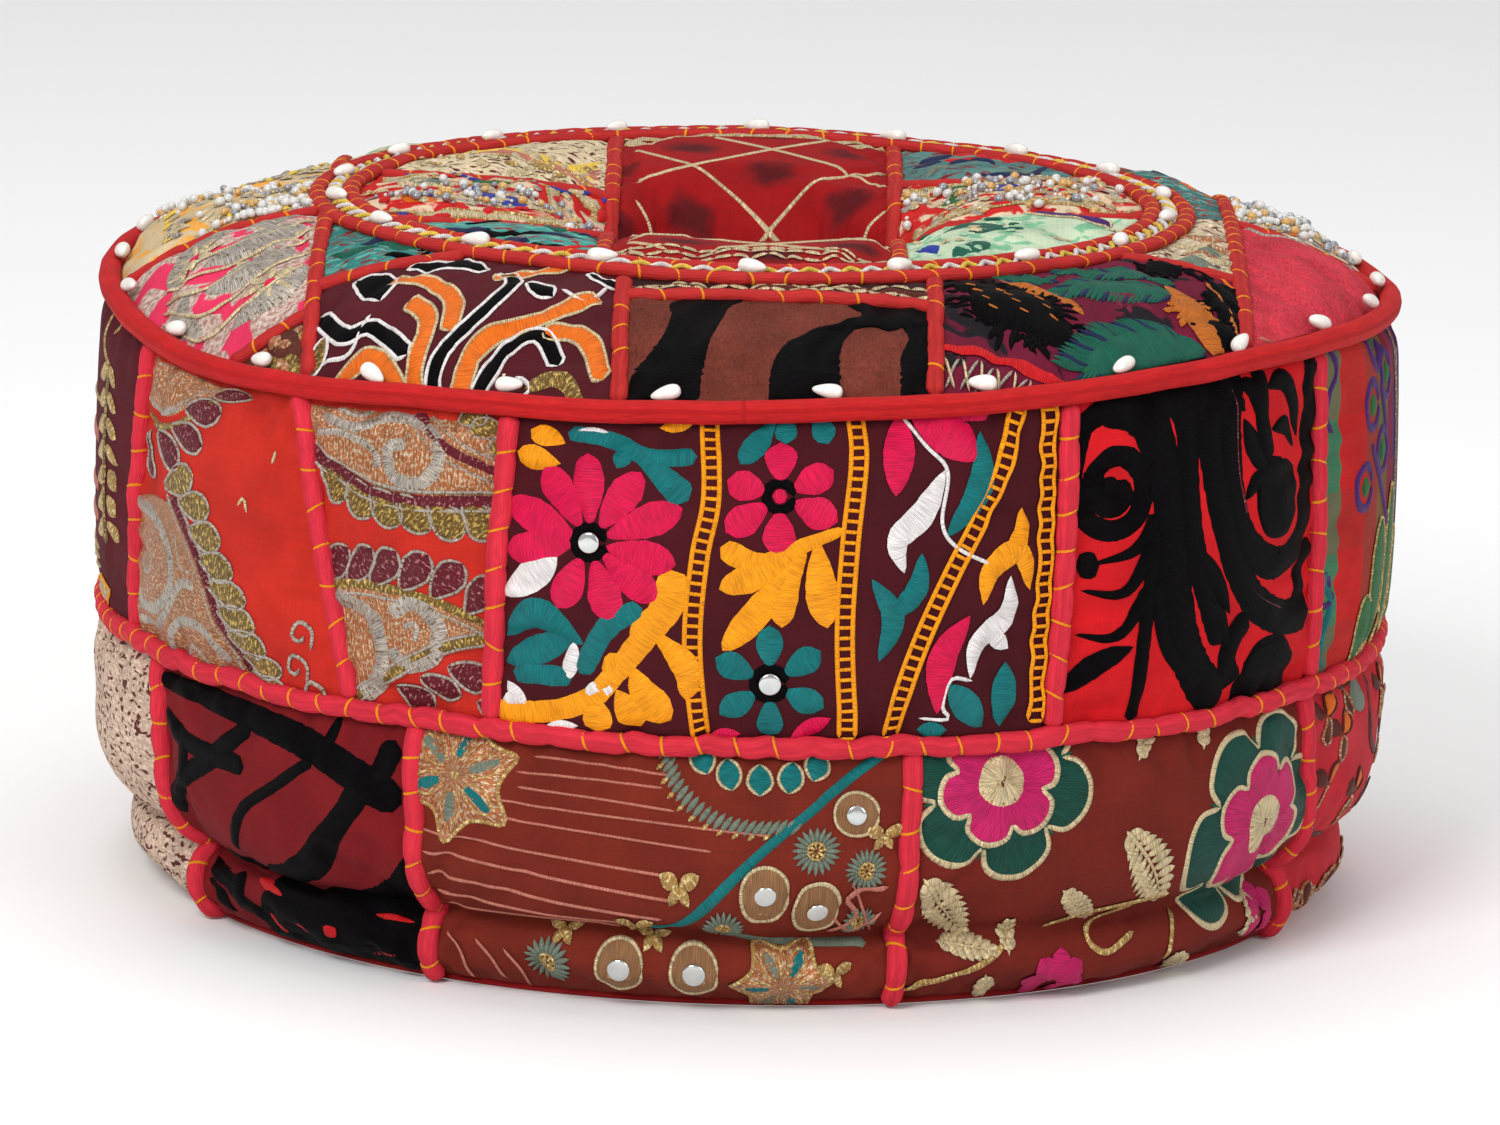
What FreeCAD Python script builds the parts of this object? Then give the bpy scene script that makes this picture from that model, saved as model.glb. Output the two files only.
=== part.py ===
import FreeCAD
import Part

import math
import os

import Sketcher
from FreeCAD import Placement, Rotation, Vector

# Round patchwork floor pouf. A sewn cover of embroidered patches with corded seams stands over a
# cotton lining, an inner casing and its stuffing. A tie from a covered button pulls the middle of
# the top down into a well. The base closes with a zip that lies in a shallow channel of the canvas.
# Origin: middle of the base, on the floor. +Z up, -Y is the front. Angles run from the front
# towards the right (+X). All sizes are millimetres and degrees.

DIMENSIONS = [
    # side of the cover
    ("side_radius", 271.0),
    ("patch_thickness", 3.0),
    ("seam_gap", 0.4),
    ("tier_height", 117.0),
    ("tier_allowance", 1.5),
    ("rim_height", 258.0),
    ("rim_allowance", 6.5),
    ("upper_bulge_radius", 760.0),
    ("lower_bulge_radius", 88.0),
    ("crease_radius", 248.0),
    ("crease_height", 28.0),
    ("roll_bulge_radius", 13.5),
    ("roll_foot_radius", 246.0),
    ("roll_foot_height", 3.2),
    # top of the cover: radius and rise above the rim of each point of its section
    ("edge_radius", 266.5),
    ("edge_rise", -1.0),
    ("dome_radius", 188.0),
    ("ring_outer_edge", 187.3),
    ("ring_outer_rise", 32.0),
    ("track_outer_edge", 184.2),
    ("track_inner_edge", 173.2),
    ("track_rise", 33.0),
    ("disc_edge", 170.2),
    ("disc_rise", 33.0),
    ("disc_curve_radius", 600.0),
    ("lip_radius", 86.0),
    ("lip_rise", 27.0),
    ("lip_curve_radius", 34.0),
    ("wall_radius", 66.0),
    ("wall_rise", 8.0),
    ("heel_radius", 50.0),
    ("heel_rise", -18.0),
    ("well_curve_radius", 64.0),
    ("well_hole_radius", 3.0),
    ("well_rise", -34.0),
    # plan lines that divide the top into patches
    ("line_left", -180.0),
    ("line_front_left", -52.0),
    ("line_front_right", 76.0),
    ("line_right", 205.0),
    ("line_back", 70.0),
    ("line_corner_left", -147.0),
    ("line_strip", -203.0),
    ("line_corner_right", -107.0),
    ("line_side_left", -45.0),
    ("line_side_brown", -163.0),
    ("line_side_right", 0.0),
    ("band_left", -61.0),
    ("band_right", 62.0),
    ("wedge_left_back", 50.0),
    ("wedge_left_front", -68.0),
    ("wedge_right_back", 78.0),
    ("wedge_right_front", -15.0),
    # cords, welts and beads
    ("cord_width", 8.0),
    ("cord_height", 6.0),
    ("cord_clearance", 0.1),
    ("cord_sweep", 1.7),
    ("cord_end_room", 4.5),
    ("cord_top_room", 1.5),
    ("cord_outer_end", 260.0),
    ("rim_welt_radius", 274.5),
    ("rim_welt_thickness", 5.5),
    ("tier_cord_radius", 275.5),
    ("tier_cord_thickness", 4.3),
    ("ring_cord_thickness", 4.0),
    ("ring_cord_lift", 4.3),
    ("ring_cord_outer", 186.0),
    ("ring_cord_inner", 171.7),
    ("trim_inner_radius", 240.5),
    ("trim_outer_radius", 247.0),
    ("trim_height", 3.0),
    ("bead_half_length", 6.0),
    ("bead_half_width", 3.0),
    ("bead_half_height", 3.0),
    ("bead_tip_share", 0.3),
    ("rim_bead_radius", 264.0),
    ("rim_bead_lift", 7.2),
    ("ring_bead_radius", 178.8),
    ("ring_bead_lift", 7.4),
    ("mirror_radius", 4.2),
    ("mirror_thickness", 1.0),
    ("mirror_standoff", 0.2),
    # inside
    ("lining_inset", 0.4),
    ("shoulder_drop", 2.6),
    ("lining_thickness", 1.0),
    ("casing_inset", 2.0),
    ("casing_thickness", 1.0),
    ("core_inset", 3.4),
    ("inside_floor", 3.0),
    ("tie_radius", 1.5),
    ("tie_clearance", 0.9),
    ("button_radius", 15.0),
    ("button_height", 8.0),
    ("button_crown_radius", 20.0),
    ("anchor_radius", 18.0),
    ("anchor_base", 4.4),
    ("anchor_thickness", 3.0),
    # base and zip
    ("base_radius", 239.5),
    ("canvas_thickness", 2.0),
    ("zip_offset", 112.0),
    ("flange_reach", 8.0),
    ("flange_width", 6.0),
    ("ramp_width", 14.0),
    ("channel_rise", 6.5),
    ("channel_half_width", 30.0),
    ("channel_top", 12.5),
    ("zip_half_length", 172.0),
    ("tape_width", 12.6),
    ("tape_edge", 1.4),
    ("tape_base", 8.7),
    ("tape_thickness", 0.6),
    ("tooth_base", 6.4),
    ("tooth_height", 2.2),
    ("tooth_edge", 0.8),
    ("tooth_depth", 1.0),
    ("tooth_length", 2.0),
    ("tooth_pitch", 4.0),
    ("rail_depth", 1.4),
    ("slider_rest", 160.0),
    ("slider_half_length", 7.0),
    ("slider_half_width", 4.9),
    ("slider_wing_base", 4.6),
    ("slider_wing_thickness", 1.3),
    ("slider_top_base", 9.6),
    ("slider_top_thickness", 1.2),
    ("slider_rail_top", 8.4),
    ("slider_rail_width", 1.2),
    ("slider_post_half_width", 0.4),
    ("slider_post_half_length", 3.0),
    ("bridge_half_length", 5.7),
    ("bridge_half_width", 1.1),
    ("bridge_foot", 1.4),
    ("bridge_base", 1.9),
    ("bridge_thickness", 0.8),
    ("pull_pivot_height", 3.7),
    ("pull_half_thickness", 0.6),
    ("pull_half_width", 3.6),
    ("pull_slot_half_width", 1.9),
    ("pull_slot_end", 7.6),
    ("pull_length", 26.0),
    ("pull_fillet", 2.0),
    ("stop_length", 3.0),
    ("stop_gap", 1.5),
]

# Seam angles of each tier, and the patch that starts at each seam.
UPPER_SEAMS = [
    ("upper_patch_maroon_gold", -105.0),
    ("upper_patch_paisley_left", -68.0),
    ("upper_patch_paisley_right", -38.8),
    ("upper_patch_mirror_flowers", -21.2),
    ("upper_patch_black_scroll", 28.3),
    ("upper_patch_green_plaid", 60.6),
    ("upper_patch_teal_vine", 96.0),
    ("upper_patch_rear_flowers", 149.0),
    ("upper_patch_rear_paisley", 202.0),
]
LOWER_SEAMS = [
    ("lower_patch_cream_zari", -110.0),
    ("lower_patch_black_brush", -62.0),
    ("lower_patch_star_mirror", -28.9),
    ("lower_patch_rose_vine", 15.2),
    ("lower_patch_pink_leaf", 62.0),
    ("lower_patch_rear_brown", 106.0),
    ("lower_patch_rear_red", 177.0),
]
RIM_BEADS = 26
RING_BEADS = 18
MIRROR_SIDES = 8
# Angle and height of each sewn mirror: two on the upper tier, three on the lower, two on its roll.
UPPER_MIRRORS = [(-12.8, 199.0), (2.6, 145.0)]
LOWER_MIRRORS = [(10.1, 89.0), (2.6, 58.0), (7.2, 52.0)]
ROLL_MIRRORS = [(-10.1, 18.0), (-3.3, 18.0)]

FRONT_TO_X = 90.0
FAR = 300.0
FULL_TURN = 360.0
DEPTH_BELOW = 60.0

doc = FreeCAD.newDocument("pouf")
sheet = doc.addObject("Spreadsheet::Sheet", "Sizes")


class Size:
    """A length or angle as a number and as the expression that gives it from the sheet."""

    def __init__(self, value, text):
        self.value = value
        self.text = text

    def _join(self, other, sign, value):
        return Size(value, f"({self.text} {sign} {as_size(other).text})")

    def __add__(self, other):
        return self._join(other, "+", self.value + as_size(other).value)

    def __sub__(self, other):
        return self._join(other, "-", self.value - as_size(other).value)

    def __mul__(self, other):
        return self._join(other, "*", self.value * as_size(other).value)

    def __neg__(self):
        return Size(-self.value, f"(0 - {self.text})")


def as_size(thing):
    return thing if isinstance(thing, Size) else Size(float(thing), repr(float(thing)))


def fill_sheet(rows):
    sizes = {}
    for number, (alias, value) in enumerate(rows, start=1):
        sheet.set(f"A{number}", alias)
        sheet.set(f"B{number}", repr(value))
        sheet.setAlias(f"B{number}", alias)
        sizes[alias] = Size(value, f"Sizes.{alias}")
    doc.recompute()
    return sizes


SEAM_ROWS = [(f"{name}_start", angle) for name, angle in UPPER_SEAMS + LOWER_SEAMS]
size = fill_sheet(DIMENSIONS + SEAM_ROWS)
rim = size["rim_height"]
thick = size["patch_thickness"]


def bind(thing, prop, value):
    """Sets a property from a Size and ties it to the sheet."""
    thing.setExpression(prop, as_size(value).text)


def place(thing, x=0, y=0, z=0, turn=0):
    """Places a piece, turned about Z and moved, with both tied to the sheet."""
    thing.Placement = Placement(
        Vector(as_size(x).value, as_size(y).value, as_size(z).value),
        Rotation(Vector(0, 0, 1), as_size(turn).value),
    )
    for axis, value in (("x", x), ("y", y), ("z", z)):
        if isinstance(value, Size):
            bind(thing, f"Placement.Base.{axis}", value)
    if isinstance(turn, Size):
        bind(thing, "Placement.Rotation.Angle", turn)


# ---------------------------------------------------------------- sketches and bodies


def origin_plane(body, role):
    return next(f for f in body.Origin.OriginFeatures if f.Role == role)


def new_sketch(body, name, role):
    sketch = body.newObject("Sketcher::SketchObject", name)
    sketch.AttachmentSupport = [(origin_plane(body, role), "")]
    sketch.MapMode = "FlatFace"
    return sketch


def arc_between(start, end, radius, side):
    """The short arc from start to end, bulging to the left (side 1) or right (side -1) of the way."""
    half = (end - start) * 0.5
    sagitta = radius - math.sqrt(radius * radius - half.Length ** 2)
    left = Vector(-half.y, half.x, 0).normalize()
    return Part.Arc(start, start + half + left * (side * sagitta), end)


def hold_point(sketch, geo, pos, x, y, label):
    for kind, value, axis in (("DistanceX", x, -2), ("DistanceY", y, -1)):
        value = as_size(value)
        if abs(value.value) < 1e-9:
            sketch.addConstraint(Sketcher.Constraint("PointOnObject", geo, pos, axis))
            continue
        index = sketch.addConstraint(
            Sketcher.Constraint(kind, -1, 1, geo, pos, value.value)
        )
        sketch.renameConstraint(index, f"{kind}_{label}")
        bind(sketch, f"Constraints.{kind}_{label}", value)


def draw_outline(sketch, corners, label="p"):
    """Closes an outline through corners (x, y) or (x, y, radius, side).

    A radius and side make the edge that leaves that corner an arc."""
    points = [Vector(as_size(c[0]).value, as_size(c[1]).value, 0) for c in corners]
    ends = []
    for i, corner in enumerate(corners):
        start, end = points[i], points[(i + 1) % len(points)]
        if len(corner) == 4:
            edge = arc_between(start, end, as_size(corner[2]).value, corner[3])
        else:
            edge = Part.LineSegment(start, end)
        geo = sketch.addGeometry(edge, False)
        first = (sketch.getPoint(geo, 1) - start).Length < 1e-6
        ends.append((geo, 1 if first else 2, 2 if first else 1))
    for i, corner in enumerate(corners):
        geo, first, _ = ends[i]
        before, _, last = ends[i - 1]
        sketch.addConstraint(Sketcher.Constraint("Coincident", before, last, geo, first))
        hold_point(sketch, geo, first, corner[0], corner[1], f"{label}{i}")
        if len(corner) == 4:
            radius = as_size(corner[2])
            index = sketch.addConstraint(
                Sketcher.Constraint("Radius", geo, radius.value)
            )
            sketch.renameConstraint(index, f"Radius_{label}{i}")
            bind(sketch, f"Constraints.Radius_{label}{i}", radius)


def revolved(name, corners, sweep=None, middle=None):
    """A body turned from a section in the XZ plane: a full ring, or a sector about its middle."""
    body = doc.addObject("PartDesign::Body", name)
    sketch = new_sketch(body, f"{name}_section", "XZ_Plane")
    draw_outline(sketch, corners)
    turn = body.newObject("PartDesign::Revolution", f"{name}_turn")
    turn.Profile = sketch
    turn.ReferenceAxis = (sketch, ["V_Axis"])
    if sweep is None:
        turn.Angle = FULL_TURN
    else:
        turn.Midplane = True
        turn.Angle = as_size(sweep).value
        bind(turn, "Angle", sweep)
        place(body, turn=as_size(middle) - FRONT_TO_X)
    return body


def padded(name, role, corners, length, centred=True):
    """A body padded from one outline on an origin plane."""
    body = doc.addObject("PartDesign::Body", name)
    sketch = new_sketch(body, f"{name}_outline", role)
    draw_outline(sketch, corners)
    pad = body.newObject("PartDesign::Pad", f"{name}_pad")
    pad.Profile = sketch
    pad.Midplane = centred
    pad.Length = as_size(length).value
    bind(pad, "Length", length)
    return body


# ---------------------------------------------------------------- primitives and booleans


def box(name, x0, x1, y0, y1, z0, z1):
    low = [as_size(v) for v in (x0, y0, z0)]
    high = [as_size(v) for v in (x1, y1, z1)]
    solid = doc.addObject("Part::Box", name)
    for prop, a, b in zip(("Length", "Width", "Height"), low, high):
        setattr(solid, prop, b.value - a.value)
        bind(solid, prop, b - a)
    place(solid, *low)
    return solid


def cylinder(name, radius, z0, z1):
    solid = doc.addObject("Part::Cylinder", name)
    bind(solid, "Radius", radius)
    bind(solid, "Height", as_size(z1) - z0)
    place(solid, z=as_size(z0))
    return solid


def torus(name, ring, section, height):
    solid = doc.addObject("Part::Torus", name)
    bind(solid, "Radius1", ring)
    bind(solid, "Radius2", section)
    place(solid, z=height)
    return solid


def common(name, base, tool):
    result = doc.addObject("Part::Common", name)
    result.Base, result.Tool = base, tool
    return result


def cut(name, base, tool):
    result = doc.addObject("Part::Cut", name)
    result.Base, result.Tool = base, tool
    return result


def fused(name, pieces):
    result = doc.addObject("Part::MultiFuse", name)
    result.Shapes = pieces
    return result


def group(name, pieces):
    result = doc.addObject("Part::Compound", name)
    result.Links = pieces
    return result


def copies(name, master, placements):
    """A node of equal pieces: links to one master, each at its own placement."""
    links = []
    for number, placement in enumerate(placements):
        link = doc.addObject("App::Link", f"{name}_{number}")
        link.LinkedObject = master
        link.Placement = placement
        links.append(link)
    return group(name, links)


# ---------------------------------------------------------------- sections of the cover


def upper_section(out_shift, in_shift, low, high):
    """Barrel wall of the upper tier between two heights, between two shifts of its face."""
    outer = size["side_radius"] + out_shift
    inner = size["side_radius"] + in_shift
    curve = size["upper_bulge_radius"]
    return [
        (outer, low, curve, -1),
        (outer, high),
        (inner, high, curve, 1),
        (inner, low),
    ]


def lower_section(out_shift, in_shift, low, high):
    """Lower tier: a bulge down to the crease, then the roll that the pouf stands on."""
    corners = []
    for shift, side in ((out_shift, -1), (in_shift, 1)):
        foot = (size["roll_foot_radius"] + shift, low)
        crease = (size["crease_radius"] + shift, size["crease_height"])
        head = (size["side_radius"] + shift, high)
        roll, bulge = size["roll_bulge_radius"], size["lower_bulge_radius"]
        if side < 0:
            corners += [(*foot, roll, side), (*crease, bulge, side), head]
        else:
            corners += [(*head, bulge, side), (*crease, roll, side), foot]
    return corners


def dome_section(up, down):
    """Outer slope of the top, from its edge to the ring, between two lifts of its face."""
    edge, ring = size["edge_radius"], size["ring_outer_edge"]
    edge_z, ring_z = rim + size["edge_rise"], rim + size["ring_outer_rise"]
    curve = size["dome_radius"]
    return [
        (edge, edge_z + up, curve, -1),
        (ring, ring_z + up),
        (ring, ring_z + down, curve, 1),
        (edge, edge_z + down),
    ]


def disc_points():
    """Face of the middle of the top: nearly level, then over the lip and down into the well."""
    return [
        (size["disc_edge"], rim + size["disc_rise"], size["disc_curve_radius"], -1),
        (size["lip_radius"], rim + size["lip_rise"], size["lip_curve_radius"], -1),
        (size["wall_radius"], rim + size["wall_rise"]),
        (size["heel_radius"], rim + size["heel_rise"], size["well_curve_radius"], 1),
        (size["well_hole_radius"], rim + size["well_rise"]),
    ]


def disc_section(up, down):
    """Wall of the middle of the top between two lifts of its face."""
    face = disc_points()
    there = [(p[0], p[1] + up, *p[2:]) for p in face]
    back = []
    for i in range(len(face) - 1, -1, -1):
        radius, height = face[i][0], face[i][1] + down
        arc = face[i - 1][2:] if i else ()
        back.append((radius, height, arc[0], -arc[1]) if arc else (radius, height))
    return there + back


def envelope_section(inset):
    """Half section of everything inside the cover, drawn in from the patches by inset."""
    side = size["side_radius"] - thick - inset
    sunk = thick + inset + size["lining_inset"]
    floor = size["inside_floor"] + inset
    shoulder = side - (size["side_radius"] - size["edge_radius"]) - 1.0
    corners = [
        (0, floor),
        (size["roll_foot_radius"] - thick - 0.5 - inset, floor,
         size["roll_bulge_radius"], -1),
        (size["crease_radius"] - thick - inset, size["crease_height"],
         size["lower_bulge_radius"], -1),
        (side, size["tier_height"] - size["tier_allowance"]),
        (side, size["tier_height"] + size["tier_allowance"], size["upper_bulge_radius"], -1),
        (side, rim - size["rim_allowance"] - thick - inset),
        (shoulder, rim - size["shoulder_drop"] - inset, size["dome_radius"], -1),
        (size["ring_outer_edge"], rim + size["ring_outer_rise"] - sunk),
    ]
    face = disc_points()
    corners += [(p[0], p[1] - sunk, *p[2:]) for p in face[:-1]]
    corners.append((0, rim + size["well_rise"] - sunk))
    return corners


# ---------------------------------------------------------------- patches and seams of the sides


def next_seam(seams, index):
    """Start of the patch after this one, as an angle larger than this one's start."""
    if index + 1 < len(seams):
        return size[f"{seams[index + 1][0]}_start"]
    return size[f"{seams[0][0]}_start"] + FULL_TURN


def side_patches(seams, corners):
    """One sector of a tier for each patch, a hair narrower than the space between its seams."""
    angular_gap = size["seam_gap"] * (180.0 / math.pi / size["side_radius"].value)
    made = []
    for index, (name, _) in enumerate(seams):
        start, end = size[f"{name}_start"], next_seam(seams, index)
        sweep = end - start - angular_gap
        made.append(revolved(name, corners, sweep, (start + end) * 0.5))
    return made


def side_cords(name, seams, corners, low, high):
    """The cords over a tier's upright seams, cut off between two heights: one node."""
    room = cylinder(f"{name}_room", FAR, low, high)
    cords = []
    for number, (patch, _) in enumerate(seams):
        cord_name = f"{name}_{number}"
        whole = revolved(
            f"{cord_name}_whole", corners, size["cord_sweep"], size[f"{patch}_start"]
        )
        cords.append(common(cord_name, whole, room))
    return group(name, cords)


upper_low = size["tier_height"] + size["tier_allowance"]
upper_high = rim - size["rim_allowance"]
lower_high = size["tier_height"] - size["tier_allowance"]
nodes = side_patches(UPPER_SEAMS, upper_section(0, -thick, upper_low, upper_high))
nodes += side_patches(
    LOWER_SEAMS, lower_section(0, -thick, size["roll_foot_height"], lower_high)
)
cord_low = size["cord_clearance"]
cord_high = cord_low + size["cord_height"]
nodes.append(
    side_cords(
        "upper_seam_cords",
        UPPER_SEAMS,
        upper_section(cord_high, cord_low, upper_low, upper_high),
        upper_low + size["cord_end_room"],
        upper_high - size["cord_top_room"],
    )
)
nodes.append(
    side_cords(
        "lower_seam_cords",
        LOWER_SEAMS,
        lower_section(cord_high, cord_low, size["roll_foot_height"], lower_high),
        size["roll_foot_height"] + 1.0,
        lower_high - size["cord_end_room"],
    )
)

# ---------------------------------------------------------------- patches and cords of the top

top_low = rim - DEPTH_BELOW
top_high = rim + DEPTH_BELOW
outer_shell = revolved("top_outer_shell", dome_section(0, -thick))
inner_shell = revolved("top_inner_shell", disc_section(0, -thick))
outer_cord_shell = revolved("top_outer_cord_shell", dome_section(cord_high, cord_low))
inner_cord_shell = revolved("top_inner_cord_shell", disc_section(cord_high, cord_low))


def top_patch(name, shell, x0, x1, y0, y1):
    """The part of a shell of the top over a rectangle of the plan, clear of its neighbours."""
    half_gap = size["seam_gap"] * 0.5
    tool = box(
        f"{name}_plan",
        as_size(x0) + half_gap,
        as_size(x1) - half_gap,
        as_size(y0) + half_gap,
        as_size(y1) - half_gap,
        top_low,
        top_high,
    )
    return common(name, shell, tool)


left, right = size["line_left"], size["line_right"]
front_left, front_right = size["line_front_left"], size["line_front_right"]
OUTER_PATCHES = [
    ("top_patch_maroon_swirl", left, front_left, -FAR, size["line_corner_left"]),
    ("top_patch_brown_zebra", front_left, front_right, -FAR, size["line_strip"]),
    ("top_patch_braid_strip", front_left, front_right, size["line_strip"], 0),
    ("top_patch_black_fern", front_right, right, -FAR, size["line_corner_right"]),
    ("top_patch_teal_corner", left, front_left, size["line_corner_left"], 0),
    ("top_patch_cream_corner", front_right, right, size["line_corner_right"], 0),
    ("top_patch_brown_corner", -FAR, left, -FAR, size["line_side_brown"]),
    ("top_patch_pink_silver", -FAR, left, size["line_side_brown"], size["line_side_left"]),
    ("top_patch_blue_bead", -FAR, left, size["line_side_left"], FAR),
    ("top_patch_red_velvet", right, FAR, -FAR, size["line_side_right"]),
    ("top_patch_silver_bead", right, FAR, size["line_side_right"], FAR),
    ("top_patch_cream_back", left, size["line_back"], 0, FAR),
    ("top_patch_teal_back", size["line_back"], right, 0, FAR),
]
band_left, band_right = size["band_left"], size["band_right"]
left_back, left_front = size["wedge_left_back"], size["wedge_left_front"]
right_back, right_front = size["wedge_right_back"], size["wedge_right_front"]
INNER_PATCHES = [
    ("inner_patch_red_quilt", band_left, band_right, -FAR, FAR),
    ("inner_patch_cream_fan", -FAR, band_left, left_back, FAR),
    ("inner_patch_beaded_left", -FAR, band_left, left_front, left_back),
    ("inner_patch_teal_left", -FAR, band_left, -FAR, left_front),
    ("inner_patch_teal_right", band_right, FAR, right_back, FAR),
    ("inner_patch_beaded_right", band_right, FAR, right_front, right_back),
    ("inner_patch_mint_right", band_right, FAR, -FAR, right_front),
]
nodes += [top_patch(name, outer_shell, *plan) for name, *plan in OUTER_PATCHES]
nodes += [top_patch(name, inner_shell, *plan) for name, *plan in INNER_PATCHES]
nodes.append(
    revolved(
        "bead_track_band",
        [
            (size["track_outer_edge"], rim + size["track_rise"] - thick),
            (size["track_outer_edge"], rim + size["track_rise"]),
            (size["track_inner_edge"], rim + size["track_rise"]),
            (size["track_inner_edge"], rim + size["track_rise"] - thick),
        ],
    )
)


def cord_along_y(name, x, y0, y1):
    half = size["cord_width"] * 0.5
    return box(name, as_size(x) - half, as_size(x) + half, y0, y1, top_low, top_high)


def cord_along_x(name, y, x0, x1):
    half = size["cord_width"] * 0.5
    return box(name, x0, x1, as_size(y) - half, as_size(y) + half, top_low, top_high)


# A cord that meets another stops a hair short of that cord's side.
butt = size["cord_width"] * 0.5 + size["cord_clearance"]
OUTER_CORDS = [
    cord_along_y("cord_left", left, -FAR, FAR),
    cord_along_y("cord_right", right, -FAR, FAR),
    cord_along_y("cord_front_left", front_left, -FAR, 0),
    cord_along_y("cord_front_right", front_right, -FAR, 0),
    cord_along_y("cord_back", size["line_back"], 0, FAR),
    cord_along_x("cord_corner_left", size["line_corner_left"], left + butt, 0),
    cord_along_x("cord_corner_right", size["line_corner_right"], 0, right - butt),
    cord_along_x("cord_strip", size["line_strip"], front_left + butt, front_right - butt),
    cord_along_x("cord_side_left", size["line_side_left"], -FAR, left - butt),
    cord_along_x("cord_side_brown", size["line_side_brown"], -FAR, left - butt),
    cord_along_x("cord_side_right", size["line_side_right"], right + butt, FAR),
]
INNER_CORDS = [
    cord_along_y("cord_band_left", band_left, -FAR, FAR),
    cord_along_y("cord_band_right", band_right, -FAR, FAR),
    cord_along_x("cord_left_back", left_back, -FAR, band_left - butt),
    cord_along_x("cord_left_front", left_front, -FAR, band_left - butt),
    cord_along_x("cord_right_back", right_back, band_right + butt, FAR),
    cord_along_x("cord_right_front", right_front, band_right + butt, FAR),
]
top_cord_room = cut(
    "outer_cord_room",
    common(
        "outer_cord_band",
        outer_cord_shell,
        cylinder("rim_room", size["cord_outer_end"], top_low, top_high),
    ),
    cylinder("ring_room", size["ring_cord_outer"] + 4.2, top_low, top_high),
)
inner_cord_room = common(
    "inner_cord_room",
    inner_cord_shell,
    cylinder("disc_room", size["ring_cord_inner"] - 4.2, top_low, top_high),
)
nodes.append(
    group(
        "top_seam_cords",
        [common(f"{c.Name}_piece", top_cord_room, c) for c in OUTER_CORDS]
        + [common(f"{c.Name}_piece", inner_cord_room, c) for c in INNER_CORDS],
    )
)

# ---------------------------------------------------------------- welts and ring cords

nodes.append(torus("rim_welt", size["rim_welt_radius"], size["rim_welt_thickness"], rim))
nodes.append(
    torus(
        "tier_seam_cord",
        size["tier_cord_radius"],
        size["tier_cord_thickness"],
        size["tier_height"],
    )
)
ring_height = rim + size["track_rise"] + size["ring_cord_lift"]
for cord_name, cord_radius in (
    ("ring_cord_outer", size["ring_cord_outer"]),
    ("ring_cord_inner", size["ring_cord_inner"]),
):
    nodes.append(torus(cord_name, cord_radius, size["ring_cord_thickness"], ring_height))
nodes.append(
    revolved(
        "base_trim",
        [
            (size["trim_inner_radius"], 0),
            (size["trim_outer_radius"], 0, size["trim_height"] * 0.5 + 0.05, -1),
            (size["trim_outer_radius"], size["trim_height"]),
            (size["trim_inner_radius"], size["trim_height"]),
        ],
    )
)

# ---------------------------------------------------------------- beads and mirrors


def around(radius, height, angle):
    """Placement at an angle from the front, with local Y pointing outwards."""
    turn = math.radians(angle)
    spot = Vector(radius * math.sin(turn), -radius * math.cos(turn), height)
    return Placement(spot, Rotation(Vector(0, 0, 1), angle + 180.0))


def bead_half(name, turn):
    """Half of a faceted bead, tapering from its middle along its own X."""
    half = doc.addObject("Part::Wedge", name)
    tall, deep = size["bead_half_height"], size["bead_half_width"]
    tip = size["bead_tip_share"]
    bind(half, "Xmin", -deep)
    bind(half, "Xmax", deep)
    bind(half, "Zmin", -tall)
    bind(half, "Zmax", tall)
    bind(half, "X2min", -deep * tip)
    bind(half, "X2max", deep * tip)
    bind(half, "Z2min", -tall * tip)
    bind(half, "Z2max", tall * tip)
    half.Ymin = 0
    bind(half, "Ymax", size["bead_half_length"])
    place(half, turn=turn)
    return half


bead = fused("bead_master", [bead_half("bead_right", -90.0), bead_half("bead_left", 90.0)])
bead_spots = [
    around(
        size["rim_bead_radius"].value,
        (rim + size["rim_bead_lift"]).value,
        FULL_TURN * (number + 0.5) / RIM_BEADS,
    )
    for number in range(RIM_BEADS)
]
bead_spots += [
    around(
        size["ring_bead_radius"].value,
        (rim + size["track_rise"] + size["ring_bead_lift"]).value,
        FULL_TURN * number / RING_BEADS,
    )
    for number in range(RING_BEADS)
]
nodes.append(copies("shell_beads", bead, bead_spots))

mirror = doc.addObject("Part::Prism", "mirror_master")
mirror.Polygon = MIRROR_SIDES
bind(mirror, "Circumradius", size["mirror_radius"])
bind(mirror, "Height", size["mirror_thickness"])


def arc_face(centre_x, centre_z, radius, z):
    """Radius of a turned face at height z, where its section is an arc about a known centre."""
    return centre_x + math.sqrt(radius ** 2 - (z - centre_z) ** 2)


def arc_centre(start, end, radius):
    """Centre of the short arc from start to end that bulges away from the axis."""
    half = (end - start) * 0.5
    reach = math.sqrt(radius * radius - half.Length ** 2)
    return start + half + Vector(-half.y, half.x, 0).normalize() * reach


def face_radius(low, high, radius, z):
    centre = arc_centre(Vector(*low, 0), Vector(*high, 0), radius)
    return arc_face(centre.x, centre.y, radius, z), centre


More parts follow.
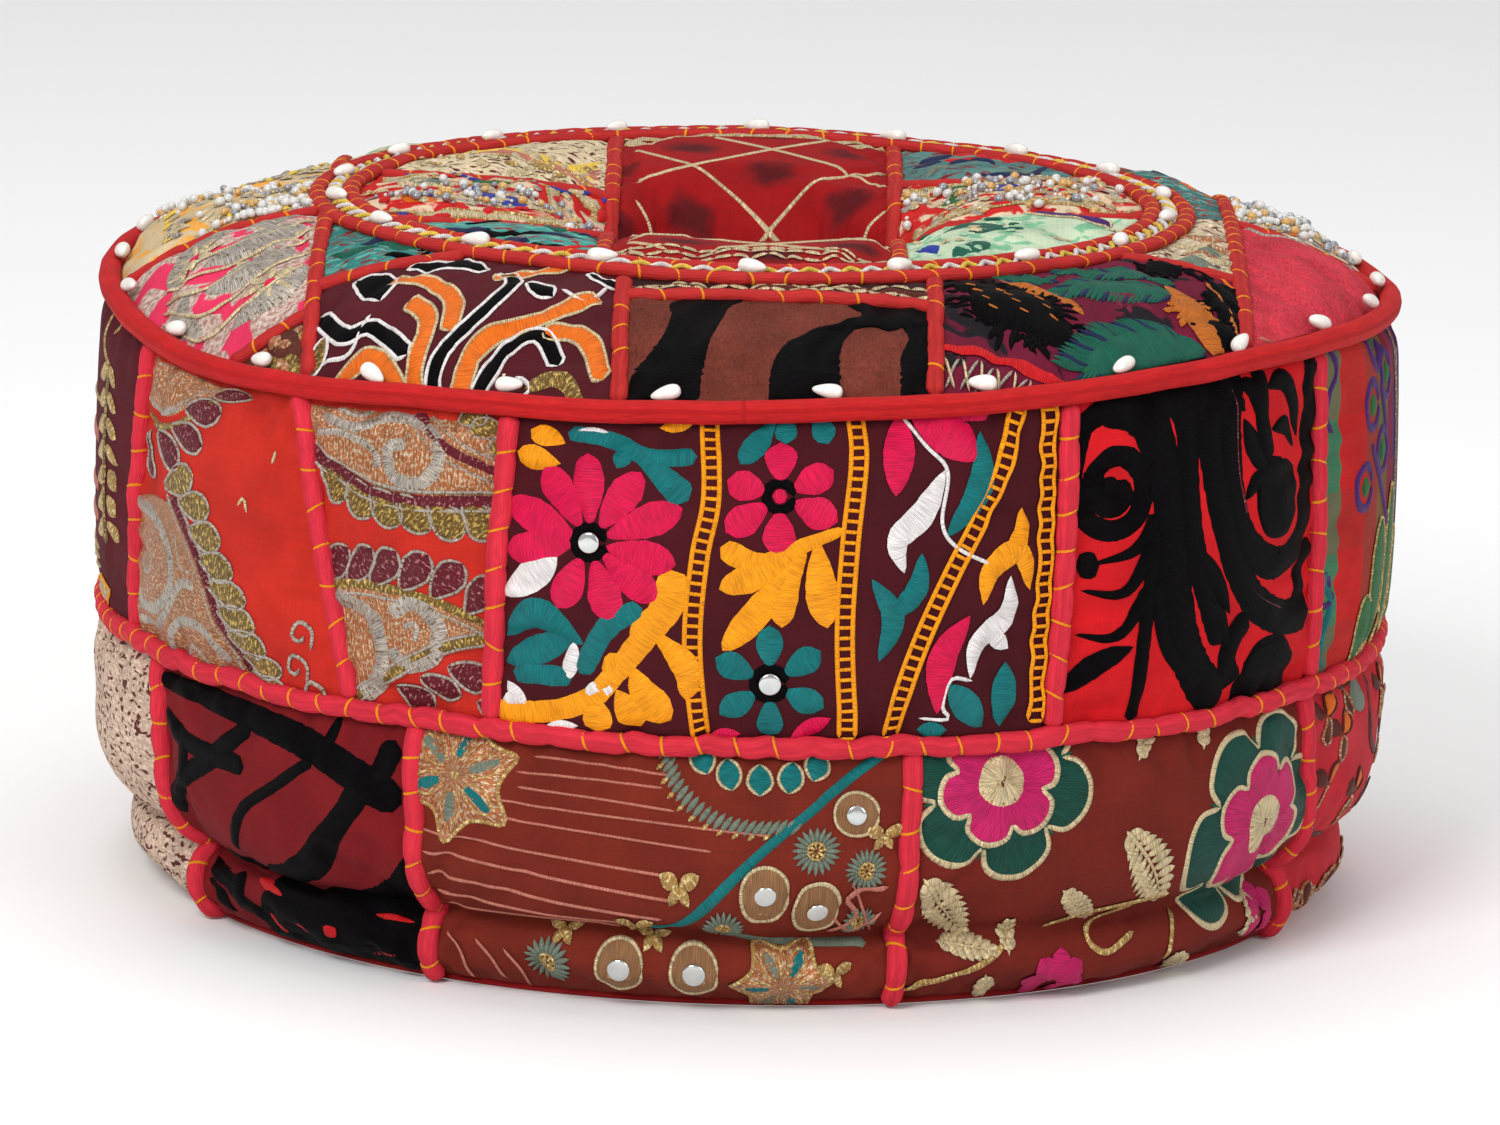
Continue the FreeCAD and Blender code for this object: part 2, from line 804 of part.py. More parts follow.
side_r = size["side_radius"].value
crease = (size["crease_radius"].value, size["crease_height"].value)
ARCS = [
    (UPPER_MIRRORS, (side_r, upper_low.value), (side_r, upper_high.value),
     size["upper_bulge_radius"].value),
    (LOWER_MIRRORS, crease, (side_r, lower_high.value), size["lower_bulge_radius"].value),
    (ROLL_MIRRORS, (size["roll_foot_radius"].value, size["roll_foot_height"].value), crease,
     size["roll_bulge_radius"].value),
]
mirror_spots = []
for spots, low_end, high_end, curve_radius in ARCS:
    for angle, height in spots:
        radius, centre = face_radius(low_end, high_end, curve_radius, height)
        slope = math.degrees(math.atan2(height - centre.y, radius - centre.x))
        spot = around(radius + size["mirror_standoff"].value, height, angle)
        lie_flat = Rotation(Vector(1, 0, 0), -90.0 + slope)
        mirror_spots.append(spot * Placement(Vector(0, 0, 0), lie_flat))
nodes.append(copies("mirror_discs", mirror, mirror_spots))

# ---------------------------------------------------------------- lining, casing and stuffing


def inside_solid(name, inset):
    """The solid inside the cover at an inset, less the zip's channel and the tie's way through."""
    inset = as_size(inset)
    body = revolved(f"{name}_section_body", envelope_section(inset))
    zip_y, half = size["zip_offset"], size["channel_half_width"] + inset
    channel = box(
        f"{name}_channel", -FAR, FAR, zip_y - half, zip_y + half, 0,
        size["channel_top"] + inset,
    )
    bore = cylinder(
        f"{name}_bore", size["tie_radius"] + size["tie_clearance"] + inset, 0, top_high
    )
    pocket = cylinder(
        f"{name}_pocket",
        size["anchor_radius"] + 1.0 + inset,
        0,
        size["anchor_base"] + size["anchor_thickness"] + 0.6 + inset,
    )
    return cut(name, body, fused(f"{name}_voids", [channel, bore, pocket]))


lining_shell = cut(
    "lining_shell",
    inside_solid("lining_outside", size["lining_inset"]),
    inside_solid("lining_inside", size["lining_inset"] + size["lining_thickness"]),
)
lining_opening = box("lining_opening", -FAR, FAR, -FAR, FAR, 0, size["channel_top"] + 3.0)
nodes.append(cut("cotton_lining", lining_shell, lining_opening))
nodes.append(
    cut(
        "inner_casing",
        inside_solid("casing_outside", size["casing_inset"]),
        inside_solid("casing_inside", size["casing_inset"] + size["casing_thickness"]),
    )
)
nodes.append(inside_solid("stuffing_core", size["core_inset"]))

# ---------------------------------------------------------------- tufting tie

button_base = rim + size["well_rise"] + 1.2
crown = doc.addObject("Part::Sphere", "button_crown")
bind(crown, "Radius", size["button_crown_radius"])
place(crown, z=button_base + size["button_height"] - size["button_crown_radius"])
button_blank = cylinder(
    "button_blank", size["button_radius"], button_base, button_base + size["button_height"]
)
nodes.append(common("tuft_button", button_blank, crown))
anchor_top = size["anchor_base"] + size["anchor_thickness"]
nodes.append(
    cylinder("tuft_cord", size["tie_radius"], anchor_top + 0.1, button_base - 0.1)
)
nodes.append(
    cylinder("tuft_anchor", size["anchor_radius"], size["anchor_base"], anchor_top)
)

# ---------------------------------------------------------------- base panels

canvas, rise = size["canvas_thickness"], size["channel_rise"]
flange_edge = size["flange_reach"]
flange_foot = flange_edge + size["flange_width"]
ramp_foot = flange_foot + size["ramp_width"]
base_disc = cylinder("base_disc", size["base_radius"], -1, 20)


def base_panel(name, side):
    """Canvas on one side of the zip (side -1 or 1): flat, then ramped up to a level flange."""
    zip_y = size["zip_offset"]
    far, foot = as_size(side * FAR), zip_y + ramp_foot * side
    knee, tip = zip_y + flange_foot * side, zip_y + flange_edge * side
    outline = [
        (far, 0),
        (foot, 0),
        (knee, rise),
        (tip, rise),
        (tip, rise + canvas),
        (knee, rise + canvas),
        (foot, canvas),
        (far, canvas),
    ]
    sheet_body = padded(f"{name}_canvas", "YZ_Plane", outline, 2 * FAR)
    return common(name, sheet_body, base_disc)


nodes.append(base_panel("base_panel_main", -1))
nodes.append(base_panel("base_panel_flap", 1))

# ---------------------------------------------------------------- zip


def mirrored_boxes(name, near, far_side, x0, x1, z0, z1):
    """Two equal bars, one each side of the zip's line, from near to far_side of it."""
    zip_y = size["zip_offset"]
    return [
        box(f"{name}_front", x0, x1, zip_y - far_side, zip_y - near, z0, z1),
        box(f"{name}_back", x0, x1, zip_y + near, zip_y + far_side, z0, z1),
    ]


run = size["zip_half_length"]
tape_edge, tape_base = size["tape_edge"], size["tape_base"]
nodes.append(
    group(
        "zip_tapes",
        mirrored_boxes(
            "tape", tape_edge, tape_edge + size["tape_width"], -run - 8.0, run + 8.0,
            tape_base, tape_base + size["tape_thickness"],
        ),
    )
)


def tooth_row(name, side):
    """One side's coil: a rail along the tape with a patterned row of teeth on its inner edge."""
    edge = size["tooth_edge"]
    root = edge + size["tooth_depth"]
    outer = root + size["rail_depth"]
    body = doc.addObject("PartDesign::Body", name)
    rail = new_sketch(body, f"{name}_rail_outline", "XY_Plane")
    draw_outline(rail, [(-run, root), (run, root), (run, outer), (-run, outer)])
    pad = body.newObject("PartDesign::Pad", f"{name}_rail")
    pad.Profile = rail
    bind(pad, "Length", size["tooth_height"])
    tooth = new_sketch(body, f"{name}_tooth_outline", "XY_Plane")
    first, last = -run, -run + size["tooth_length"]
    draw_outline(tooth, [(first, edge), (last, edge), (last, root + 0.5), (first, root + 0.5)])
    tooth_pad = body.newObject("PartDesign::Pad", f"{name}_tooth")
    tooth_pad.Profile = tooth
    bind(tooth_pad, "Length", size["tooth_height"])
    doc.recompute()
    row = body.newObject("PartDesign::LinearPattern", f"{name}_row")
    row.Originals = [tooth_pad]
    row.Direction = (tooth, ["H_Axis"])
    count = int((2 * run.value - size["tooth_length"].value) / size["tooth_pitch"].value)
    row.Length = count * size["tooth_pitch"].value
    row.Occurrences = count + 1
    body.Tip = row
    place(
        body,
        y=size["zip_offset"],
        z=size["tooth_base"],
        turn=0 if side > 0 else 180,
    )
    return body


nodes.append(
    group("zip_teeth", [tooth_row("teeth_front", -1), tooth_row("teeth_back", 1)])
)
stop_start = run + size["stop_gap"]
stop_end = stop_start + size["stop_length"]
stop_top = size["tooth_base"] + size["tooth_height"]
nodes.append(
    group(
        "zip_stops",
        mirrored_boxes("stop", 0.6, 3.4, stop_start, stop_end, size["tooth_base"], stop_top)
        + [
            box(
                "stop_bottom", -stop_end, -stop_start,
                size["zip_offset"] - 3.4, size["zip_offset"] + 3.4,
                size["tooth_base"], stop_top,
            )
        ],
    )
)


def slider_box(name, half_x, y0, y1, z0, z1):
    at, line = size["slider_rest"], size["zip_offset"]
    return box(name, at - half_x, at + half_x, line + y0, line + y1, z0, z1)


wing, wide = size["slider_half_length"], size["slider_half_width"]
wing_base = size["slider_wing_base"]
wing_top = wing_base + size["slider_wing_thickness"]
top_base = size["slider_top_base"]
top_top = top_base + size["slider_top_thickness"]
rail_in = wide - size["slider_rail_width"]
post_x, post_y = size["slider_post_half_length"], size["slider_post_half_width"]
bridge_x, bridge_y = size["bridge_half_length"], size["bridge_half_width"]
bridge_low = size["bridge_base"]
bridge_high = bridge_low + size["bridge_thickness"]
bridge = cut(
    "slider_bridge",
    slider_box("bridge_block", bridge_x, -bridge_y, bridge_y, bridge_low, wing_base),
    slider_box("bridge_gap", bridge_x - size["bridge_foot"], -wide, wide, bridge_high, wing_base),
)
nodes.append(
    fused(
        "zip_slider",
        [
            slider_box("slider_wing", wing, -wide, wide, wing_base, wing_top),
            slider_box("slider_top", wing, -wide, wide, top_base, top_top),
            slider_box("slider_post", post_x, -post_y, post_y, wing_top, top_base),
            slider_box("slider_rail_front", wing, -wide, -rail_in, wing_top, size["slider_rail_top"]),
            slider_box("slider_rail_back", wing, rail_in, wide, wing_top, size["slider_rail_top"]),
            bridge,
        ],
    )
)


def pull_tab():
    """The pull: a plate with a round bar at the hinge, slotted to wrap the slider's bridge."""
    thickness = size["pull_half_thickness"]
    wide_half, slot_half = size["pull_half_width"], size["pull_slot_half_width"]
    blade = box(
        "pull_blade", 0, size["pull_length"], -wide_half, wide_half, -thickness, thickness
    )
    bar = cylinder("pull_hinge_bar", thickness, 0, wide_half * 2)
    bar.Placement = Placement(
        Vector(0, -wide_half.value, 0), Rotation(Vector(1, 0, 0), -90)
    )
    bind(bar, "Placement.Base.y", wide_half * -1)
    plate = fused("pull_plate", [blade, bar])
    slot = box(
        "pull_slot", thickness, size["pull_slot_end"], -slot_half, slot_half,
        -wide_half, wide_half,
    )
    slotted = cut("pull_slotted", plate, slot)
    doc.recompute()
    rounded = doc.addObject("Part::Fillet", "zip_pull")
    rounded.Base = slotted
    free_end = size["pull_length"].value
    corners = [
        number
        for number, edge in enumerate(slotted.Shape.Edges, start=1)
        if abs(edge.CenterOfMass.x - free_end) < 1e-6
        and edge.BoundBox.ZLength > thickness.value
    ]
    radius = size["pull_fillet"].value
    rounded.Edges = [(number, radius, radius) for number in corners]
    place(
        rounded,
        x=size["slider_rest"],
        y=size["zip_offset"],
        z=size["pull_pivot_height"],
    )
    return rounded


nodes.append(pull_tab())

# ---------------------------------------------------------------- check and write

doc.recompute()
for thing in doc.Objects:
    if "Invalid" in thing.State or "Error" in thing.State:
        raise RuntimeError(f"{thing.Name} failed: {thing.State}")
os.makedirs("parts", exist_ok=True)
for node in nodes:
    node.Label = node.Name
    shape = node.Shape
    if shape.isNull() or not shape.isValid() or shape.Volume <= 0:
        raise RuntimeError(f"{node.Name} has no valid solid")
    shape.exportStep(f"parts/{node.Name}.step")
print(len(nodes), "nodes written")
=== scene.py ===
import math
import random

import bpy
import numpy as np
from mathutils import Matrix, Vector


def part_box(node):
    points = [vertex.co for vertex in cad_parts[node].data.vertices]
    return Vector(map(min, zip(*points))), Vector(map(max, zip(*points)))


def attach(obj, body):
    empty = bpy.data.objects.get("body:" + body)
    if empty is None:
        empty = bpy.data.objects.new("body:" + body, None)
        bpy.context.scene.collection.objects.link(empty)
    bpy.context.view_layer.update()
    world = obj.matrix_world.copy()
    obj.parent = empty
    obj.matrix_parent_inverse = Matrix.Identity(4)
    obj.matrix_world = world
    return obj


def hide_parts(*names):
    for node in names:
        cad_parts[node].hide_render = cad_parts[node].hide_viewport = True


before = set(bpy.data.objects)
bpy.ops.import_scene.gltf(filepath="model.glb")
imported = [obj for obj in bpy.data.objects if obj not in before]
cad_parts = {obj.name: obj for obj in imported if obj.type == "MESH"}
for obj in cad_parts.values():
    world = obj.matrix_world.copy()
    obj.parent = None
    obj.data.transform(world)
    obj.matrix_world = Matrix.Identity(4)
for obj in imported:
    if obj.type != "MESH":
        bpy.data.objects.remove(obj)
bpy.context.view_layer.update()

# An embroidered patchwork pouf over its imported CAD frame. Every soft piece is laid on one puffed
# surface, the cover, which is reached through two charts. On the sides a place is (arc, height):
# millimetres round the side from a stated angle, and millimetres above the floor. On the top it is
# (x, y) in plan. Angles are in degrees from the front, towards the right.

MM = 0.001
BODY = "cover"
SEED = 11
CLOTH_THICKNESS = 1.1

# ---------------------------------------------------------------- sizes of the cover
CHART_RADIUS = 272.0
FOOT = (241.0, 1.4)
CREASE = (246.5, 34.0)
TIER_SEAM = (270.4, 117.0)
RIM_TUCK = (270.5, 255.5)
RIM_HEIGHT = 258.0
# The rest of the section, as (radius, height) where each run ends. An arc also has its radius, the
# side of the way it bulges to (1 for left, -1 for right) and its steps.
OUTLINE = [
    # the roll at the foot, the bulge over it, and the upper tier
    ((246.0, 3.2),), (CREASE, 16.4, -1, 12), (TIER_SEAM, 84.0, -1, 20),
    ((271.5, 120.0),), ((271.0, 251.5), 760.0, -1, 12), (RIM_TUCK,),
    # the outer slope of the top, and the band between the ring cords
    ((270.0, 258.8),), ((187.3, 290.0), 188.0, -1, 12), ((179.0, 291.2),), ((170.2, 291.0),),
    # the middle of the top, the lip of the well, its wall and its bottom
    ((86.0, 285.0), 600.0, -1, 12), ((66.0, 266.0), 34.0, -1, 12), ((50.0, 240.0),),
    ((2.0, 224.0), 64.0, 1, 12),
]
RING_OUTER, RING_INNER, TRACK = 186.0, 171.7, 178.8
# The bulge hangs over the roll: millimetres, and the height and spread of where.
SAG_DROP, SAG_SWELL = (5.0, 48.0, 11.0), (6.0, 56.0, 15.0)
# Slow wobbles of the side, in and out: millimetres, seed, waves round the pouf, height and spread.
SWELLS = [
    (1.8, 6, (3, 5, 7, 11), 12.0, 8.0), (1.2, 7, (2, 3, 5), 75.0, 34.0), (1.0, 8, (2, 4, 6), 185.0, 50.0),
]
# Where the rim and the crease stray from level: angle, half width in degrees, and millimetres up.
RIM_STRAY = ((-52.0, 26.0, -11.0), (-8.0, 22.0, -5.0), (58.0, 28.0, 6.5))
CREASE_STRAY = ((-82.0, 26.0, 3.0), (84.0, 26.0, 5.0))
# Spacing of the cover's own grid, and of the cloth that is drawn from it.
COARSE_STEP, FINE_STEP = 6.0, 2.7
# The most that the stuffing pushes the cloth out, and how long the cloth is run for.
PUFF_CAP = 6.0
SIM_FRAMES = 16

UPPER_Z = (117.0, 258.0)
LOWER_Z = (1.4, 117.0)
# Patch, and the angle of the seam at its left: at the top of its tier, then at the foot.
UPPER_SEAMS = [
    ("upper_patch_maroon_gold", -105.0, -105.0, -105.0),
    ("upper_patch_paisley_left", -66.5, -69.3, -71.4),
    ("upper_patch_paisley_right", -42.6, -35.4, -39.4),
    ("upper_patch_mirror_flowers", -20.8, -21.5, -22.1),
    ("upper_patch_black_scroll", 28.8, 27.9, 27.2),
    ("upper_patch_green_plaid", 60.4, 60.8, 58.2),
    ("upper_patch_teal_vine", 96.0, 96.0, 96.0),
    ("upper_patch_rear_flowers", 149.0, 149.0, 149.0),
    ("upper_patch_rear_paisley", 202.0, 202.0, 202.0),
]
LOWER_SEAMS = [
    ("lower_patch_cream_zari", -110.0, -110.0, -112.0),
    ("lower_patch_black_brush", -63.5, -60.6, -65.4),
    ("lower_patch_star_mirror", -28.8, -29.2, -30.3),
    ("lower_patch_rose_vine", 15.3, 15.0, 13.3),
    ("lower_patch_pink_leaf", 59.6, 65.0, 60.0),
    ("lower_patch_rear_brown", 106.0, 106.0, 106.0),
    ("lower_patch_rear_red", 177.0, 177.0, 177.0),
]
FAR = 300.0
# Patch, and its rectangle in plan: low x, high x, low y, high y.
OUTER_PATCHES = [
    ("top_patch_maroon_swirl", -180, -52, -FAR, -147),
    ("top_patch_brown_zebra", -52, 76, -FAR, -203),
    ("top_patch_braid_strip", -52, 76, -203, 0),
    ("top_patch_black_fern", 76, 205, -FAR, -107),
    ("top_patch_teal_corner", -180, -52, -147, 0),
    ("top_patch_cream_corner", 76, 205, -107, 0),
    ("top_patch_brown_corner", -FAR, -180, -FAR, -163),
    ("top_patch_pink_silver", -FAR, -180, -163, -45),
    ("top_patch_blue_bead", -FAR, -180, -45, FAR),
    ("top_patch_red_velvet", 205, FAR, -FAR, 0),
    ("top_patch_silver_bead", 205, FAR, 0, FAR),
    ("top_patch_cream_back", -180, 70, 0, FAR),
    ("top_patch_teal_back", 70, 205, 0, FAR),
]
INNER_PATCHES = [
    ("inner_patch_red_quilt", -61, 62, -FAR, FAR),
    ("inner_patch_cream_fan", -FAR, -61, 50, FAR),
    ("inner_patch_beaded_left", -FAR, -61, -68, 50),
    ("inner_patch_teal_left", -FAR, -61, -FAR, -68),
    ("inner_patch_teal_right", 62, FAR, 78, FAR),
    ("inner_patch_beaded_right", 62, FAR, -15, 78),
    ("inner_patch_mint_right", 62, FAR, -FAR, -15),
]
# Seams of the top in plan, as lines from one end to the other; ends run under a ring or the welt.
OUTER_LINES = [
    ((-180, -206), (-180, 206)), ((205, -184), (205, 184)), ((-52, -272), (-52, -186)),
    ((76, -264), (76, -172)), ((70, 175), (70, 266)), ((-180, -147), (-118, -147)),
    ((153, -107), (205, -107)), ((-52, -203), (76, -203)), ((-272, -45), (-180, -45)),
    ((-230, -163), (-180, -163)), ((205, 0), (274, 0)),
]
INNER_LINES = [
    ((-61, -160), (-61, 160)), ((62, -160), (62, 160)), ((-165, 50), (-61, 50)),
    ((-158, -68), (-61, -68)), ((62, 78), (153, 78)), ((62, -15), (171, -15)),
]

# ---------------------------------------------------------------- colours, as sRGB 0 to 255
COLOURS = {
    "pink": (220, 4, 74), "teal": (0, 112, 114), "gold": (255, 160, 8), "white": (240, 234, 232),
    "black": (8, 6, 8), "navy": (20, 34, 74), "maroon": (70, 6, 18), "wine": (98, 14, 32),
    "orange": (236, 112, 12), "tan": (172, 102, 56), "silver": (176, 166, 154),
    "olive": (116, 88, 36), "cream": (210, 190, 148), "zari": (178, 140, 78),
    "green": (0, 66, 54), "leaf": (22, 100, 40), "rose": (196, 22, 96), "sage": (116, 128, 112),
    "blush": (196, 120, 102), "roundel": (146, 104, 68), "purple": (72, 22, 104),
    "fern": (6, 92, 72), "ochre": (192, 104, 24), "blue": (36, 54, 156), "mint": (166, 208, 170),
    "red": (206, 12, 20), "brown": (92, 34, 22), "yellow": (240, 204, 84), "berry": (118, 8, 48),
}
# Dims every dye a little, to suit the studio light.
COLOUR_GAIN = 0.88
# Thread that is metallic, so it glints.
METALLIC = {"silver", "zari", "olive", "cream", "tan"}
# How wide one thread of a satin stitch is, in millimetres.
THREAD_WIDTH = 0.62
# Thread with flecks of a second colour in it, and how much of it is fleck.
FLECKS = {
    "tan": ((204, 178, 146), 0.54), "olive": ((206, 176, 96), 0.55), "wine": ((176, 120, 116), 0.6),
    "silver": ((120, 92, 62), 0.6), "maroon": ((150, 90, 90), 0.6), "zari": ((236, 214, 150), 0.56),
}


def linear(rgb):
    """A colour for a shader from an sRGB triple or the name of one."""
    triple = COLOURS[rgb] if isinstance(rgb, str) else rgb
    out = []
    for value in triple:
        c = value / 255.0
        c = c / 12.92 if c <= 0.04045 else ((c + 0.055) / 1.055) ** 2.4
        out.append(min(1.0, c * COLOUR_GAIN))
    return (*out, 1.0)


# ---------------------------------------------------------------- outline of the cover


def arc(start, end, radius, side, steps):
    """Points of the short arc after start up to end; side 1 bulges left of the way, -1 right."""
    a, b = np.array(start, float), np.array(end, float)
    half = (b - a) / 2
    reach = math.sqrt(radius * radius - half @ half)
    left = np.array([-half[1], half[0]]) / np.linalg.norm(half)
    centre = a + half - left * side * reach
    first = math.atan2(*(a - centre)[::-1])
    turn = math.atan2(*(b - centre)[::-1]) - first
    turn = (turn + math.pi) % (2 * math.pi) - math.pi
    angles = first + turn * np.arange(1, steps + 1) / steps
    return [tuple(centre + radius * np.array([math.cos(t), math.sin(t)])) for t in angles]


def cover_outline():
    """Section of the cover as (radius, height), from its foot up the side and into the well."""
    points, here = [FOOT], FOOT
    for end, *bend in OUTLINE:
        points += arc(here, end, *bend) if bend else [end]
        here = end
    return np.array(points)


def circle(count):
    """Even angles round the pouf, or round a tube."""
    return np.arange(count) * 2 * math.pi / count


def turned(radius, theta, height):
    """Points at a radius and height, at angles from the front."""
    return np.stack(np.broadcast_arrays(radius * np.sin(theta), -radius * np.cos(theta), height), -1)


def wave(theta, seed, periods=(3, 5, 7, 11)):
    """A smooth closed wobble round the pouf, between about -1 and 1."""
    rng = random.Random(seed)
    total = np.zeros_like(theta)
    for count in periods:
        total += math.sqrt(3.0 / count) * np.sin(count * theta + rng.uniform(0, 2 * math.pi))
    return total / len(periods) * 1.3


def bell(value, centre, spread):
    return np.exp(-(((value - centre) / spread) ** 2))


def stray(theta, places):
    """Sum of smooth bumps round the pouf."""
    gaps = [(np.degrees(theta) - angle + 180.0) % 360.0 - 180.0 for angle, _, _ in places]
    return sum(place[2] * bell(gap, 0.0, place[1]) for gap, place in zip(gaps, places))


def segment_distance(x, y, line):
    (x0, y0), (x1, y1) = line
    dx, dy = x1 - x0, y1 - y0
    t = np.clip(((x - x0) * dx + (y - y0) * dy) / (dx * dx + dy * dy), 0, 1)
    return np.hypot(x - x0 - t * dx, y - y0 - t * dy)


def seam_angle(row, height, tier):
    """Angle of a side seam at a height, on its straight slant between top and foot."""
    share = np.clip((height - tier[0]) / (tier[1] - tier[0]), 0, 1)
    return row[2] + (row[1] - row[2]) * share


class Cover:
    """The puffed surface that everything soft is laid on: rows of points from foot to well."""

    def __init__(self):
        outline = cover_outline()
        length = np.concatenate([[0], np.cumsum(np.linalg.norm(np.diff(outline, axis=0), axis=1))])
        self.rows = int(length[-1] / COARSE_STEP)
        self.columns = int(2 * math.pi * CHART_RADIUS / COARSE_STEP)
        along = np.linspace(0, length[-1], self.rows)
        self.radius = np.interp(along, length, outline[:, 0])
        self.height = np.interp(along, length, outline[:, 1])
        self.rim_row = int(np.argmin(np.abs(self.height - RIM_TUCK[1]) + 99 * (self.radius < 260)))
        self.theta = circle(self.columns)
        theta = self.theta[None, :]
        radius = np.repeat(self.radius[:, None], self.columns, 1)
        height = np.repeat(self.height[:, None], self.columns, 1)
        self.x = radius * np.sin(theta)
        self.y = -radius * np.cos(theta)
        self.side = np.arange(self.rows)[:, None] <= self.rim_row
        self.flat_height = height
        side = self.side
        slump = 1.0 + 0.3 * wave(theta, 9, (2, 5, 7))
        lift = 3.2 * wave(theta, 3) * bell(height, CREASE[1], 14.0) * side
        lift = lift - SAG_DROP[0] * slump * bell(height, *SAG_DROP[1:]) * side
        lift = lift + stray(theta, RIM_STRAY) * bell(height, RIM_HEIGHT, 19.0) * (radius > 190)
        lift = lift + stray(theta, CREASE_STRAY) * bell(height, CREASE[1], 16.0) * side
        lift = lift + 1.9 * wave(theta, 4, (2, 3, 5, 9)) * bell(height, RIM_HEIGHT, 14.0) * (radius > 240)
        crown = np.clip((height - RIM_HEIGHT) / 30.0, 0, 1) * (radius < 262)
        lift = lift + crown * (0.9 * wave(theta, 5) - 0.011 * self.y) * np.clip(radius / 120, 0, 1)
        swell = SAG_SWELL[0] * slump * bell(height, *SAG_SWELL[1:]) * side
        for size, seed, waves, middle, spread in SWELLS:
            swell = swell + size * wave(theta, seed, waves) * bell(height, middle, spread) * side
        self.points = turned(radius + swell, theta, height + lift)
        self.rest, self.rest_normals = self.points, self.surface_normals()
        self.seam_distance = self.distance_to_seams()
        self.points = self.puffed()
        self.normals = self.surface_normals()

    def surface_normals(self):
        along = np.gradient(self.points, axis=0)
        ends = np.concatenate([self.points[:, -1:], self.points, self.points[:, :1]], 1)
        across = np.gradient(ends, axis=1)[:, 1:-1]
        normal = np.cross(across, along)
        return normal / np.maximum(np.linalg.norm(normal, axis=-1, keepdims=True), 1e-9)

    def distance_to_seams(self):
        """Millimetres from each point to the nearest stitched seam."""
        height = self.flat_height
        theta = (self.theta[None, :] + math.pi) % (2 * math.pi) - math.pi
        side = np.minimum(np.abs(height - TIER_SEAM[1]), np.abs(height - RIM_HEIGHT))
        side = np.minimum(side, np.abs(height - FOOT[1]))
        for seams, tier in ((UPPER_SEAMS, UPPER_Z), (LOWER_SEAMS, LOWER_Z)):
            here = (height >= tier[0]) & (height <= tier[1])
            for row in seams:
                gap = theta - np.radians(seam_angle(row, height, tier))
                gap = np.abs((gap + math.pi) % (2 * math.pi) - math.pi) * CHART_RADIUS
                side = np.where(here, np.minimum(side, gap), side)
        radius = np.hypot(self.x, self.y)
        top = np.minimum(np.abs(radius - RING_OUTER), np.abs(radius - RING_INNER))
        top = np.minimum(top, np.abs(radius - 267.0))
        top = np.minimum(top, radius)
        for lines, here in ((OUTER_LINES, radius > RING_OUTER), (INNER_LINES, radius < RING_INNER)):
            for line in lines:
                top = np.where(here, np.minimum(top, segment_distance(self.x, self.y, line)), top)
        return np.where(self.side, side, top)

    def puffed(self):
        """The points after the stuffing has pushed the cloth out between its seams."""
        moved = simulate(self.points, self.seam_distance < 0.62 * COARSE_STEP) - self.points
        reach = np.linalg.norm(moved, axis=-1, keepdims=True)
        return self.points + moved * np.minimum(1.0, PUFF_CAP / np.maximum(reach, 1e-9))

    def column(self, theta):
        return np.mod(theta, 2 * math.pi) / (2 * math.pi) * self.columns

    def normal(self, row, theta):
        return cubic(self.normals, row, self.column(theta))

    def at(self, row, theta, rise=0.0):
        """Points over fractional rows and angles in radians, raised along the surface's normal."""
        raised = self.normal(row, theta) * np.asarray(rise)[..., None]
        return cubic(self.points, row, self.column(theta)) + raised

    def side_row(self, height):
        rows = np.arange(self.rim_row + 1)
        return np.interp(height, self.height[: self.rim_row + 1], rows)

    def top_row(self, radius):
        rows = np.arange(self.rim_row, self.rows)
        return np.interp(-np.asarray(radius), -self.radius[self.rim_row:], rows)


def cubic(grid, row, column):
    """Smooth reading of a grid that is closed round its columns, at fractional places."""
    rows, columns = grid.shape[:2]
    row = np.clip(np.asarray(row, float), 0, rows - 1.001)
    r0, c0 = np.floor(row).astype(int), np.floor(column).astype(int)
    fr, fc = (row - r0)[..., None], (column - c0)[..., None]

    def weights(f):
        return (
            -0.5 * f + f * f - 0.5 * f ** 3,
            1 - 2.5 * f * f + 1.5 * f ** 3,
            0.5 * f + 2 * f * f - 1.5 * f ** 3,
            -0.5 * f * f + 0.5 * f ** 3,
        )

    total = 0
    for i, wr in enumerate(weights(fr)):
        line = 0
        for j, wc in enumerate(weights(fc)):
            line = line + wc * grid[np.clip(r0 + i - 1, 0, rows - 1), (c0 + j - 1) % columns]
        total = total + wr * line
    return total


def grid_faces(rows, columns, closed=True):
    """Quads of a grid, as an array of vertex numbers."""
    r, c = np.meshgrid(np.arange(rows - 1), np.arange(columns if closed else columns - 1), indexing="ij")
    c1 = (c + 1) % columns
    quads = np.stack([r * columns + c, r * columns + c1, (r + 1) * columns + c1, (r + 1) * columns + c], -1)
    return quads.reshape(-1, 4)


